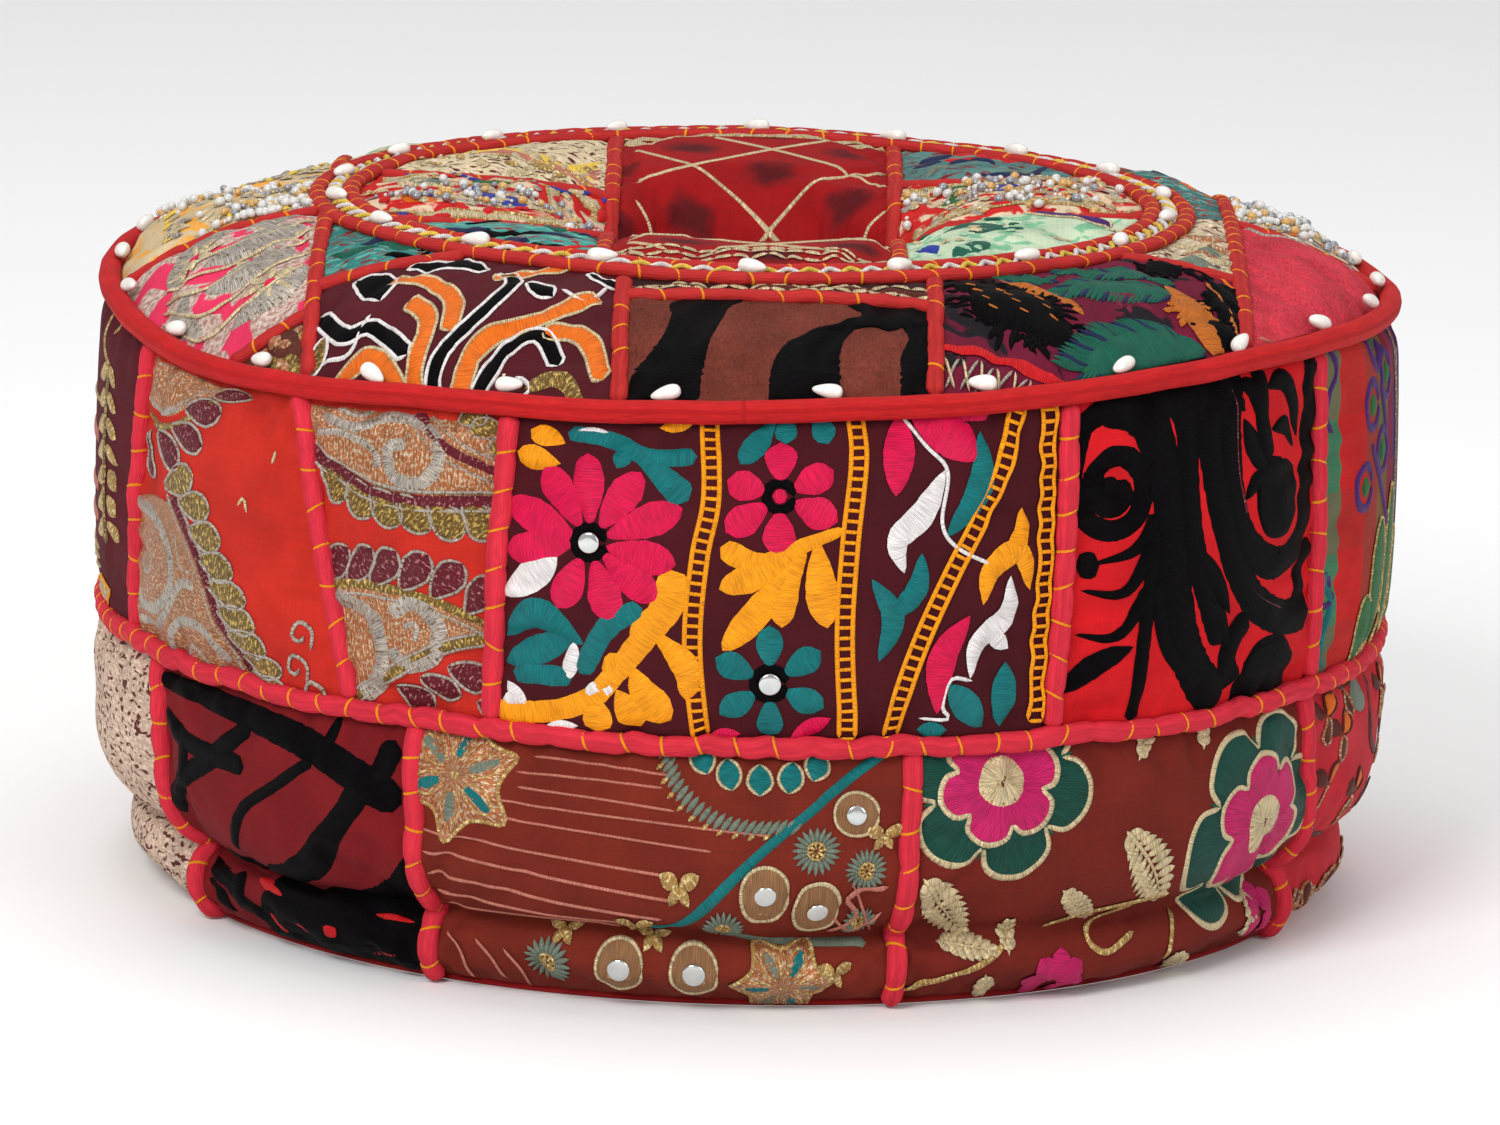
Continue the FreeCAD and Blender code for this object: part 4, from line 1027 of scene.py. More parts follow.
def mirror_flowers():
    rows = []
    rows += spray("petal", "pink", 13.5, (44, 199), 6, [
        (42, 236), (64, 229), (81, 215), (79, 192), (72, 177), (54, 167), (31, 171), (8, 192), (7, 212),
        (23, 229), (20, 205)])
    rows += [ring("black", 4.2, (44, 199), 6.2)]
    rows += [("leaf", "white", 13, [(31, 192), (7, 173)])]
    rows += [
        ("leaf", "teal", 13, [(42, 157), (22, 168), (8, 156)]), ("leaf", "teal", 12, [(38, 160), (8, 145)]),
        ("band", "teal", 8, [(38, 143), (12, 142)]), ("band", "teal", 9, [(66, 174), (52, 165), (41, 145)]),
        ("leaf", "white", 7, [(38, 158), (36, 141)]), ("leaf", "white", 9, [(42, 136), (56, 142)]),
        ("leaf", "white", 6, [(10, 138), (18, 128)]), ("leaf", "white", 5, [(26, 121), (40, 123)]),
        ("leaf", "white", 7, [(18, 132), (8, 130)]),
    ]
    rows += [
        ("band", "gold", 9, [(2, 125), (25, 127), (45, 135), (58, 150), (68, 165)]),
        ("grow", "gold", 15, [(52, 140), (66, 160), (77, 178), (77, 190)]),
        ("petal", "gold", 14, [(62, 150), (68, 138), (78, 128)]),
        ("petal", "gold", 13, [(56, 140), (66, 124)]),
        ("petal", "gold", 13, [(48, 136), (48, 121)]), ("petal", "gold", 11, [(64, 152), (50, 148)]),
        ("petal", "gold", 11, [(70, 165), (84, 150), (84, 137)]),
        ("petal", "gold", 10, [(76, 178), (62, 160)]),
        ("petal", "gold", 11, [(32, 240), (17, 246)]), ("petal", "gold", 12, [(30, 230), (11, 234)]),
        ("leaf", "gold", 6, [(70, 250), (84, 253)]),
    ]
    rows += [
        ("band", "teal", 8, [(32, 246), (52, 243), (66, 236), (86, 237)]),
        ("grow", "teal", 13, [(60, 240), (72, 228), (83, 218)]),
        ("leaf", "teal", 8, [(58, 240), (54, 230)]),
        ("leaf", "white", 4, [(34, 247), (50, 247)]),
    ]
    rows += ladder([(90, 254), (92, 220), (88, 195), (86, 160), (90, 120)])
    rows += [
        ("petal", "teal", 10, [(117, 254), (103, 234)]), ("petal", "teal", 9, [(121, 256), (121, 243)]),
        ("petal", "teal", 10, [(133, 256), (138, 243)]),
    ]
    rows += spray("petal", "pink", 13, (119, 221), 5, [
        (119, 244), (140, 232), (142, 211), (119, 197), (98, 206), (98, 227)])
    rows += [ring("black", 4.0, (119, 221), 5.5), ("blob", "pink", 6, [(119, 221)])]
    rows += [
        ("grow", "gold", 10, [(145, 208), (130, 202), (112, 194), (96, 200)]),
        ("petal", "gold", 12, [(128, 200), (112, 190), (96, 183)]),
        ("petal", "gold", 12, [(128, 196), (112, 175), (98, 158)]),
        ("petal", "gold", 12, [(130, 200), (122, 185), (121, 168)]),
        ("petal", "gold", 13, [(134, 204), (136, 185), (139, 168)]),
    ]
    rows += spray("petal", "teal", 11, (117, 145), 6, around((117, 145), 24, (92, 35, -25, -88, -145, 155)))
    rows += [ring("black", 4.2, (117, 145), 6.2)]
    rows += [("leaf", "pink", 6, [(94, 121), (106, 123)]), ("leaf", "pink", 8, [(126, 121), (142, 130)])]
    rows += ladder([(149, 254), (150, 235), (147, 200), (146, 165), (149, 121)])
    rows += [
        ("leaf", "pink", 13, [(167, 254), (165, 221)]),
        ("leaf", "pink", 18, [(172, 252), (186, 246), (198, 234)]),
        ("band", "pink", 7, [(182, 254), (206, 253)]),
        ("leaf", "teal", 11, [(186, 204), (199, 222), (201, 246)]),
        ("leaf", "white", 11, [(185, 231), (176, 214), (166, 203), (169, 190)]),
        ("leaf", "teal", 9, [(176, 198), (174, 183), (162, 170)]),
        ("leaf", "teal", 9, [(156, 188), (165, 172), (160, 154)]),
        ("line", "white", 1.6, [(168, 253), (178, 240), (186, 230), (184, 210), (190, 200), (205, 192)]),
    ]
    rows += [
        ("leaf", "pink", 12, [(197, 172), (186, 155), (185, 132)]),
        ("leaf", "teal", 12, [(189, 144), (196, 136), (205, 125)]),
        ("leaf", "teal", 11, [(214, 151), (213, 124)]), ("leaf", "teal", 7, [(178, 124), (190, 125)]),
        ("leaf", "gold", 9, [(220, 214), (217, 198), (203, 190)]),
        ("leaf", "gold", 10, [(202, 176), (205, 190), (218, 196), (224, 180)]),
        ("leaf", "white", 10, [(214, 187), (213, 170), (201, 160), (198, 146)]),
        ("leaf", "white", 7, [(206, 164), (216, 156)]),
        ("line", "white", 1.6, [(199, 145), (190, 146), (187, 135), (190, 130), (178, 129)]),
    ]
    rows += ladder([(219, 256), (205, 220), (190, 192), (178, 165), (170, 140), (167, 121)])
    rows += ladder([(232, 256), (231, 200), (229, 125)])
    return rows


def black_scroll():
    return [
        ("line", "black", 9, [(30, 251), (14, 243), (10, 222), (16, 206), (28, 201), (38, 207), (41, 220),
            (34, 230), (24, 230), (18, 220), (24, 211), (32, 214), (29, 222)]),
        ("blob", "black", 9, [(26, 219)]),
        ("line", "black", 18, [(20, 252), (40, 246), (50, 228), (55, 205), (57, 180), (63, 155), (74, 136),
            (90, 123)]),
        ("line", "black", 12, [(48, 254), (62, 242), (64, 215), (68, 190), (78, 165), (86, 148)]),
        ("area", "black", 1, [[(56, 255), (100, 255)], [(60, 244), (98, 240)]]),
        ("line", "black", 15, [(74, 253), (77, 230), (83, 205), (93, 180), (106, 163), (126, 153),
            (152, 151)]),
        ("line", "black", 14, [(88, 254), (88, 220), (94, 196), (108, 181), (125, 177), (139, 184),
            (146, 202), (149, 230), (150, 254)]),
        ("area", "black", 1, [[(104, 214), (112, 222), (124, 220), (137, 214)],
            [(105, 200), (112, 189), (126, 188), (136, 198)]]),
        ("line", "black", 9, [(113, 220), (108, 238), (110, 254)]),
        ("leaf", "black", 10, [(96, 238), (103, 226), (112, 215)]),
        ("leaf", "black", 8, [(97, 206), (106, 214), (116, 212)]),
        ("leaf", "black", 9, [(112, 246), (126, 246), (139, 226)]),
        ("leaf", "black", 7, [(114, 232), (125, 232), (133, 223)]),
        ("leaf", "black", 8, [(96, 250), (104, 246), (108, 234)]),
        ("line", "black", 11, [(102, 158), (93, 150), (90, 139), (98, 128)]),
        ("area", "black", 1, [[(101, 138), (110, 146), (126, 146), (137, 136)],
            [(98, 121), (112, 119), (128, 119), (138, 121)]]),
        ("taper", "black", 8, [(47, 207), (38, 193), (18, 188)]), ("blob", "black", 11, [(16, 188)]),
        ("taper", "black", 9, [(46, 193), (32, 176), (13, 178)]),
        ("taper", "black", 9, [(45, 177), (30, 158), (12, 159)]),
        ("leaf", "black", 10, [(38, 153), (22, 147), (4, 134)]),
        ("line", "black", 7, [(47, 202), (44, 170), (41, 121)]),
        ("line", "black", 7, [(48, 180), (53, 156), (62, 143), (72, 136)]),
        ("leaf", "black", 8, [(66, 192), (80, 177), (90, 160)]),
        ("leaf", "black", 8, [(69, 172), (82, 162), (90, 146)]),
        ("line", "black", 9, [(152, 182), (141, 166), (150, 152)]),
        ("line", "wine", 1.4, [(72, 250), (79, 226), (85, 204), (94, 181), (108, 165), (128, 156)]),
        ("line", "wine", 1.2, [(92, 250), (92, 222), (98, 200)]),
    ]


def paisley_left():
    rows = [
        ("area", "tan", 1, [[(28, 246), (62, 247), (98, 245)], [(30, 222), (55, 218), (90, 236)]]),
        ("area", "tan", 1, [[(17, 116), (17, 150), (20, 176), (42, 184), (64, 184)],
            [(112, 116), (104, 128), (94, 146), (84, 162), (68, 184)]]),
        ("line", "silver", 5, [(30, 224), (52, 221), (72, 230), (88, 243)]),
        ("line", "silver", 3, [(40, 246), (52, 234), (66, 240), (74, 247)]),
        ("line", "olive", 3, [(28, 216), (52, 214), (74, 222), (94, 238)]),
    ]
    rows += petals("wine", [
        (10, (82, 236), (110, 243)), (13, (70, 225), (95, 228)), (12, (60, 216), (85, 212)),
        (13, (48, 212), (68, 200)), (12, (34, 210), (40, 190))])
    rows += petals("olive", [
        (13, (56, 190), (79, 199)), (12, (68, 186), (92, 187)), (12, (76, 176), (100, 175)),
        (12, (84, 166), (108, 163)), (11, (90, 156), (116, 153)), (11, (96, 147), (121, 143)),
        (11, (102, 138), (127, 134)), (10, (107, 129), (134, 126)), (9, (111, 121), (136, 118))])
    rows += [
        ("line", "wine", 5, [(62, 188), (84, 164), (98, 141), (116, 115)]),
        ("line", "silver", 1.6, [(58, 188), (80, 163), (94, 140), (110, 115)]),
        ("line", "silver", 1.6, [(67, 188), (88, 165), (102, 142), (120, 116)]),
        ("line", "silver", 7, [(20, 176), (45, 177), (60, 166), (62, 151), (50, 139), (34, 136),
            (20, 142)]),
        ("line", "silver", 3, [(26, 158), (34, 150), (44, 156), (38, 165)]),
        ("line", "silver", 6, [(20, 127), (42, 128), (58, 139), (70, 152), (82, 153)]),
        ("line", "silver", 6, [(54, 116), (58, 129), (72, 137), (88, 135), (99, 122)]),
        ("line", "silver", 3, [(66, 117), (76, 127), (88, 118)]),
        ("line", "silver", 1.6, [(24, 134), (44, 135), (60, 146)]),
        ("line", "silver", 1.6, [(66, 174), (70, 160), (80, 158)]),
        ("line", "cream", 1.4, [(110, 192), (114, 196), (116, 190)]),
        ("line", "cream", 1.4, [(127, 212), (129, 218)]),
    ]
    for x, y in ((145, 143), (142, 129), (150, 119)):
        curl = [(x + 5, y - 5), (x + 6, y + 3), (x - 1, y + 6), (x - 4, y), (x, y - 2), (x + 2, y + 1)]
        rows += [("line", "silver", 1.8, curl)]
    return rows


def paisley_right():
    rows = [
        ("area", "tan", 1, [[(-8, 247), (40, 248), (88, 246)],
            [(-8, 224), (20, 214), (45, 210), (88, 213)]]),
        ("area", "tan", 1, [[(6, 167), (30, 171), (60, 168), (90, 156)],
            [(16, 120), (36, 128), (60, 146), (90, 151)]]),
    ]
    rows += petals_along(
        "olive", 14, 20, -44, [(2, 217), (17, 213), (30, 211), (43, 210), (57, 209), (71, 210)])
    rows += petals_along(
        "wine", 13, 20, 52, [(4, 168), (18, 170), (31, 171), (45, 171), (59, 169), (73, 164)])
    rows += petals_along("wine", 12, 19, -22, [(40, 129), (53, 136), (66, 142), (78, 128)])
    rows += petals_along("olive", 12, 15, 30, [(72, 240), (80, 232), (66, 246)])
    rows += [
        ("line", "silver", 8, [(-2, 241), (20, 236), (36, 244), (54, 241), (61, 229), (54, 216), (41, 217),
            (38, 228), (47, 232)]),
        ("line", "silver", 5, [(-2, 230), (14, 232), (30, 226), (34, 218)]),
        ("line", "silver", 4, [(8, 246), (20, 243), (26, 248)]),
        ("line", "wine", 6, [(48, 249), (62, 233), (88, 222)]),
        ("line", "silver", 1.6, [(44, 247), (59, 229), (88, 217)]),
        ("line", "silver", 1.6, [(54, 249), (66, 237), (88, 227)]),
        ("line", "wine", 5, [(-6, 222), (20, 212), (45, 208), (88, 211)]),
        ("line", "silver", 1.6, [(-6, 218), (20, 208.5), (45, 204.5), (88, 207.5)]),
        ("line", "silver", 1.6, [(-6, 226), (20, 216), (45, 212), (88, 215)]),
        ("line", "olive", 4, [(6, 167), (30, 171), (60, 168), (90, 156)]),
        ("line", "silver", 1.6, [(8, 163), (30, 167), (60, 164), (88, 152)]),
        ("line", "silver", 9, [(10, 163), (28, 159), (36, 146), (34, 132), (24, 123)]),
        ("line", "silver", 8, [(40, 160), (52, 167), (62, 158), (60, 146), (48, 141), (40, 147)]),
        ("line", "silver", 3, [(46, 156), (53, 158), (52, 150)]),
        ("line", "olive", 5, [(20, 121), (45, 139), (66, 150), (90, 156)], "silver"),
    ]
    return rows


def green_plaid():
    rows = [
        ("line", "purple", 3.5, [(20, 256), (26, 244), (18, 232), (26, 222)]),
        ring("purple", 3, (22, 155), 6),
        ("line", "teal", 4, [(20, 165), (26, 150), (20, 135), (26, 122)]),
    ]
    for spot, size in (((72, 250), 10), ((62, 227), 9), ((52, 195), 9), ((86, 236), 9), ((78, 206), 9)):
        rows += [ring("purple", 4, spot, size), ("blob", "leaf", size, [spot])]
    rows += [
        ("line", "purple", 4, [(60, 212), (78, 190), (97, 168)]),
        ("line", "purple", 4, [(75, 236), (84, 216), (90, 200)]),
        ("petal", "leaf", 22, [(52, 119), (60, 132), (60, 148)], "zari"),
        ("petal", "leaf", 22, [(66, 121), (76, 150), (80, 178)], "zari"),
        ("petal", "leaf", 20, [(86, 122), (98, 155), (104, 188)], "zari"),
        ("petal", "leaf", 18, [(108, 120), (118, 140), (124, 166)], "zari"),
        ("line", "olive", 4, [(110, 256), (118, 200), (112, 160), (120, 122)]),
        ("line", "purple", 4, [(132, 256), (126, 210), (134, 165), (128, 122)]),
    ]
    return rows


def maroon_gold():
    rows = [("line", "zari", 1.8, [(60, 135 + k * 4), (118, 136 + k * 4)]) for k in range(3)]
    rows += [
        ("band", "blush", 6, [(60, 190), (116, 191)]), ("band", "blush", 5, [(60, 168), (116, 170)]),
        ("band", "blush", 5, [(60, 156), (116, 157)]), ("line", "zari", 1.8, [(60, 205), (118, 207)]),
        ("leaf", "zari", 13, [(100, 118), (118, 126), (140, 131)], "gold"),
        ("line", "zari", 2, [(124, 252), (124, 232), (138, 226)]),
        ("line", "zari", 2, [(140, 252), (134, 240)]),
    ]
    for k in range(7):
        z = 152 + 11 * k
        rows += [("leaf", "zari", 8, [(122, z), (136, z + 7)])]
        rows += [("leaf", "zari", 7, [(152, z + 1), (140, z + 8)])]
    rows += [("line", "olive", 4, [(138, 150), (136, 190), (140, 228)])]
    return rows


def black_brush():
    return [
        ("grow", "black", 16, [(12, 105), (60, 105), (110, 100), (140, 92), (168, 80)]),
        ("band", "black", 9, [(88, 100), (65, 82), (40, 68), (22, 54)]),
        ("band", "black", 5, [(125, 92), (105, 78), (85, 65), (72, 50)]),
        ("band", "black", 11, [(152, 87), (140, 70), (125, 55), (105, 45), (88, 42)]),
        ("band", "black", 10, [(165, 106), (158, 90), (150, 78)]),
        ("leaf", "black", 6, [(136, 113), (129, 94)]),
        ("area", "black", 1, [[(86, 36), (120, 37), (150, 46), (172, 62)],
            [(66, 4), (100, 3), (140, 3), (172, 3)]]),
        ("grow", "black", 12, [(52, 44), (72, 40), (96, 36)]),
        ("area", "black", 1, [[(28, 30), (60, 27)], [(30, 22), (66, 14)]]),
        ("band", "black", 9, [(22, 92), (50, 84), (86, 82)]), ("band", "black", 8, [(40, 68), (44, 90)]),
        ("band", "black", 12, [(58, 30), (62, 16), (84, 8)]),
        ("band", "black", 13, [(90, 30), (120, 28), (150, 22)]),
        ("band", "black", 12, [(88, 14), (110, 8), (134, 10), (165, 8)]),
        ("band", "black", 8, [(100, 22), (108, 14)]),
        ("band", "black", 10, [(138, 24), (150, 12)]), ("leaf", "black", 8, [(30, 20), (52, 10)]),
        ("blob", "red", 9, [(102, 14)]), ("blob", "red", 9, [(120, 17)]),
        ("leaf", "red", 5, [(132, 7), (158, 12)]),
        ("leaf", "red", 4, [(72, 30), (94, 26)]), ("leaf", "red", 4, [(78, 16), (90, 8)]),
        ("leaf", "red", 4, [(140, 28), (166, 26)]),
    ]


def rosette(centre, size):
    """A ring of fine leaves round a metallic heart."""
    leaves, heart = around(centre, size, range(0, 360, 18)), around(centre, size * 0.45, range(10, 370, 45))
    rows = spray("leaf", "sage", size * 0.2, centre, size * 0.3, leaves)
    rows += spray("leaf", "zari", size * 0.14, centre, size * 0.05, heart)
    return rows + [ring("zari", 1.3, centre, size * 0.36)]


def star(centre, size, phase):
    """A six-pointed flower: a metallic ground with a stitched edge, and a petal to every point."""
    edge = []
    for k in range(12):
        edge += around(centre, size * (0.78 if k % 2 else 1.14), (phase + 30 * k,))
    rows = [("disc", "tan", 1, edge), ("line", "zari", 2.0, edge + edge[:1])]
    for k in range(6):
        tip, foot = (around(centre, size * r, (phase + 60 * k,))[0] for r in (0.9, 0.2))
        rows += [("leaf", "teal" if k % 2 else "sage", size * 0.36, [foot, tip], "zari")]
        rows += [("line", "zari", 1.4, [foot, tip])]
    return rows + [("blob", "zari", size * 0.26, [centre])]


def star_mirror():
    rows = []
    slopes = [
        ((18, 114), (95, 112)), ((60, 107), (118, 103)), ((54, 100), (115, 98)), ((55, 94), (120, 89)),
        ((45, 88), (158, 80)), ((42, 81), (135, 73)), ((10, 71), (120, 63)), ((12, 63), (122, 55)),
        ((12, 55), (115, 48)), ((12, 48), (98, 42)), ((14, 41), (95, 36)),
    ]
    for a, b in slopes:
        rows += [("line", "blush", 1.1, [a, ((a[0] + b[0]) / 2, (a[1] + b[1]) / 2 + 0.8), b])]
    rows += star((28, 96), 25, 20)
    curve = smooth([(113, 116), (121, 98), (134, 87), (150, 83), (168, 84)], 3.0)
    rows += [("leaf", "sage", 2.6, [(x - 2.5, y - 3.5), (x + 2.5, y + 3.5)]) for x, y in curve]
    rows += [("leaf", "zari", 2.0, [(x - 4, y - 5), (x - 1, y - 2)]) for x, y in curve[::2]]
    rows += [
        ("line", "teal", 4.0, [(208, 116), (190, 104), (165, 83), (140, 60), (118, 43), (106, 38)]),
        ("line", "sage", 4, [(138, 38), (168, 33), (204, 30)]),
    ]
    for k, (x, y) in enumerate(((132, 104), (142, 98), (153, 96), (164, 97), (174, 102))):
        turn = math.radians(150 - 30 * k)
        tip = (x + 13 * math.cos(turn) * 0.4, y + 13)
        rows += [("leaf", "teal", 10, [(x, y), tip], "cream"), ("line", "sage", 1.6, [(x, y), tip])]
    for spot, size in (((176, 74), 10), ((197, 66), 9), ((140, 44), 9), ((64, 18), 11), ((198, 44), 8)):
        rows += rosette(spot, size)
    for spot, size in (((192, 89), 9), ((156, 58), 9.5), ((178, 52), 9.5), ((96, 20), 10), ((128, 20), 10)):
        rows += [("blob", "roundel", 2 * size, [spot])]
        rows += [ring("cream", 1.6, spot, size), ring("tan", 2.4, spot, 5.2)]
    for x, y in ((122, 60), (103, 43), (110, 32), (70, 32), (188, 18), (204, 80)):
        tips = ((6, (x - 8, y + 4)), (6, (x + 8, y + 4)), (4, (x - 4, y - 6)), (4, (x + 4, y - 6)))
        rows += [("leaf", "zari", width, [tip, (x, y)]) for width, tip in tips]
    rows += star((166, 14), 20, 0)
    rows += [
        ("line", "blush", 2, [(185, 40), (196, 48), (190, 56), (207, 60)]),
        ("line", "blush", 1.3, [(15, 25), (24, 16), (25, 5)]),
        ("line", "blush", 1.3, [(30, 24), (38, 17), (42, 7)]),
        ("line", "blush", 1.3, [(44, 22), (50, 14), (52, 4)]),
        ("line", "blush", 1.2, [(192, 60), (200, 48), (206, 36)]),
        ("line", "blush", 1.2, [(184, 50), (196, 40), (207, 50)]),
    ]
    return rows


def lift(millimetres):
    """Raises the strokes that follow it."""
    return ("raise", "", millimetres, [(0, 0)])


def rose(centre, size, phase):
    """A flower in three rounds of lobes, green outside, pink inside, beige in the middle."""
    outer = scallop(centre, size, 6, 0.3, phase)
    inner = scallop(centre, size * 0.64, 6, 0.28, phase + 30)
    spokes = range(0, 360, 30)
    rows = [("disc", "green", 1, outer), ("line", "cream", 2.8, outer + outer[:1])]
    for angle in range(phase, phase + 360, 20):
        vein = [around(centre, size * share, (angle,))[0] for share in (0.66, 0.84)]
        rows += [("line", "fern", 1.0, vein)]
    rows += [lift(0.55), ("disc", "rose", 1, inner), ("line", "cream", 2.6, inner + inner[:1])]
    rows += [lift(1.1), ("disc", "cream", 1, around(centre, size * 0.28, spokes))]
    rows += [("line", "zari", 1.3, [centre, tip]) for tip in around(centre, size * 0.27, spokes)]
    heart = ("leaf", "brown", 4, [(centre[0], centre[1] + 3), (centre[0], centre[1] - 4)])
    return rows + [heart, lift(0.0)]


def stem(base, tip, pitch, fewest, lead):
    """Places along a straight stem, as (share, place), and the unit ways along it and to its left."""
    way = np.subtract(tip, base)
    length = np.linalg.norm(way)
    way = way / length
    count = max(fewest, int(length / pitch))
    shares = [(k + lead) / count for k in range(count)]
    places = [(share, np.add(base, way * length * share)) for share in shares]
    return places, way, np.array([-way[1], way[0]])


def comb(base, tip, width):
    """A leaf of separate barbs along a stem."""
    places, way, side = stem(base, tip, 3.4, 4, 0.5)
    rows = [("taper", "cream", 2.4, [base, tip])]
    for share, foot in places:
        reach = width / 2 * math.sin(math.pi * (0.15 + 0.8 * share))
        for hand in (side, -side):
            rows.append(("leaf", "cream", 3.6, [foot, foot + hand * reach + way * 5]))
    return rows


def rose_vine():
    rows = rose((46, 100), 41, 15) + rose((186, 66), 46, 40)
    for base, tip, width in (
        ((105, 74), (134, 46), 20), ((78, 54), (99, 40), 10), ((15, 62), (40, 34), 18),
        ((110, 102), (121, 116), 9), ((147, 102), (151, 116), 8), ((212, 30), (204, 14), 12),
    ):
        rows += comb(base, tip, width)
    rows += [
        ("line", "zari", 2.4, [(78, 34), (100, 42), (140, 46)]),
        ("line", "zari", 2.4, [(125, 27), (108, 22), (100, 30), (122, 44)]),
        ("line", "zari", 2.6, [(10, 7), (50, 22), (64, 37)]),
        ("line", "zari", 2.2, [(143, 14), (147, 24), (151, 32)]),
    ]
    for base, tip, width in (
        ((28, 30), (52, 26), 11), ((50, 17), (53, 5), 9), ((60, 24), (60, 39), 9),
        ((150, 16), (164, 4), 10),
    ):
        rows += comb(base, tip, width)
    rows += spray("petal", "rose", 10, (84, 10), 2, around((84, 11), 15, (0, 40, 85, 130, 180, 225, 315)))
    rows += spray("petal", "rose", 10, (216, 18), 2, around((216, 18), 13, (30, 90, 150, 210, 330)))
    return rows


def pink_leaf():
    rows = []
    for x, y in (
        (20, 100), (34, 90), (44, 108), (26, 70), (60, 60), (100, 96), (92, 50), (130, 70), (150, 100),
    ):
        rows += [("petal", "orange", 9, [(x, y), (x + 9, y + 8)], "brown")]
        rows += [("petal", "brown", 8, [(x, y), (x - 9, y + 6)])]
        rows += [("leaf", "brown", 7, [(x, y), (x + 2, y - 13)], "tan")]
    rows += [
        ("blob", "sage", 16, [(57, 103)]), ("line", "brown", 4, [(75, 112), (74, 92), (84, 78), (102, 68)]),
        ("line", "brown", 3, [(20, 60), (36, 48), (58, 44)]),
        ("line", "tan", 3, [(110, 80), (126, 90), (146, 84)]),
    ]
    for x in range(12, 160, 18):
        rows += [("petal", "brown", 8, [(x, 8), (x + 7, 20)], "tan")]
        rows += [("leaf", "tan", 4, [(x + 8, 8), (x + 12, 18)])]
    return rows


def to_rim(rows, stretch=1.1):
    """Strokes on the outer slope, drawn out so that they run under the welt."""
    def rule(x, y):
        radius = math.hypot(x, y)
        reach = radius + max(0.0, radius - RING_OUTER) * (stretch - 1)
        return x * reach / radius, y * reach / radius
    return moved(rows, rule)


def maroon_swirl():
    return [
        ("leaf", "black", 16, [(-160, -152), (-150, -164), (-147, -179)], "white"),
        ("leaf", "black", 15, [(-141, -151), (-124, -158), (-106, -170)], "white"),
        ("band", "orange", 7.5, [(-146, -164), (-130, -175), (-118, -193), (-118, -210)], "cream"),
        ("band", "orange", 7.5, [(-136, -184), (-127, -200), (-132, -222), (-130, -236)], "cream"),
        ("band", "orange", 8.5, [(-168, -213), (-158, -203), (-148, -205), (-140, -220), (-137, -231)],
            "cream"),
        ("band", "orange", 8.5, [(-60, -205), (-80, -213), (-105, -218), (-113, -233), (-112, -245)],
            "cream"),
        ("band", "orange", 8, [(-82, -220), (-65, -228), (-57, -247)], "cream"),
        ("band", "orange", 7.5, [(-70, -160), (-84, -176), (-104, -182)], "cream"),
        ("line", "black", 6.5, [(-173, -165), (-160, -188), (-148, -192), (-134, -212)], "white"),
        ("line", "black", 6.5, [(-100, -175), (-95, -190), (-105, -205), (-122, -220), (-125, -235)],
            "white"),
        ("line", "black", 6.5, [(-108, -241), (-98, -225), (-83, -222), (-75, -237)], "white"),
        ("petal", "black", 9, [(-90, -191), (-79, -204)], "white"),
        ("petal", "black", 9, [(-67, -184), (-54, -196)], "white"),
        ("line", "white", 1.6, [(-98, -246), (-92, -236), (-86, -242), (-92, -248)]),
        ("line", "white", 1.6, [(-86, -256), (-80, -248), (-74, -254)]),
        ("line", "olive", 6, [(-88, -241), (-72, -244), (-65, -259)]),
        ("line", "white", 1.6, [(-172, -190), (-158, -196), (-150, -184)]),
        ("line", "white", 1.6, [(-76, -200), (-66, -208), (-58, -196)]),
        ("leaf", "olive", 8, [(-168, -180), (-176, -196)], "white"),
    ]


def brown_zebra():
    wave_left = [(-28, -204), (-33, -213), (-32, -223), (-36, -238), (-47, -253), (-52, -268)]
    wave_right = [(-1, -204), (-8, -216), (-12, -232), (-16, -247), (-19, -268)]
    hook_left = [(38, -205), (45, -218), (30, -228), (18, -238), (10, -252), (8, -268)]
    hook_right = [(76, -205), (76, -218), (62, -227), (46, -229), (38, -242), (38, -268)]
    tail_left = [(58, -222), (64, -231), (61, -244), (62, -268)]
    tail_right = [(76, -216), (76, -232), (76, -248), (76, -268)]
    areas = ([wave_left, wave_right], [hook_left, hook_right], [tail_left, tail_right])
    return [("area", "black", 1, edges) for edges in areas]


def braid_strip():
    """Couched braid: wavy light threads over dark, with brown between."""
    rows = [("band", "brown", 3.6, [(-51, -194), (12, -194), (75, -194)])]
    for y, rise, count in ((-190, 1.3, 15), (-196.5, 1.0, 19), (-200, 1.2, 13)):
        rows += zigzag(-50, 74, y, rise, count, "cream", 1.7)
    return rows


def fern(base, tip, width):
    """A feathery frond of fine barbs, with a dark one among every few."""
    places, way, side = stem(base, tip, 2.2, 6, 0.3)
    rows = [("leaf", "fern", width * 1.3, [base, tip])]
    for k, (share, foot) in enumerate(places):
        reach = width * math.sin(math.pi * (0.2 + 0.7 * share))
        for number, hand in enumerate((side, -side)):
            colour = "fern" if (k + 2 * number) % 4 else "navy"
            rows.append(("leaf", colour, 2.6, [foot, foot + hand * reach + way * width * 0.7]))
    return rows + [("line", "leaf", 1.6, [base, tip])]


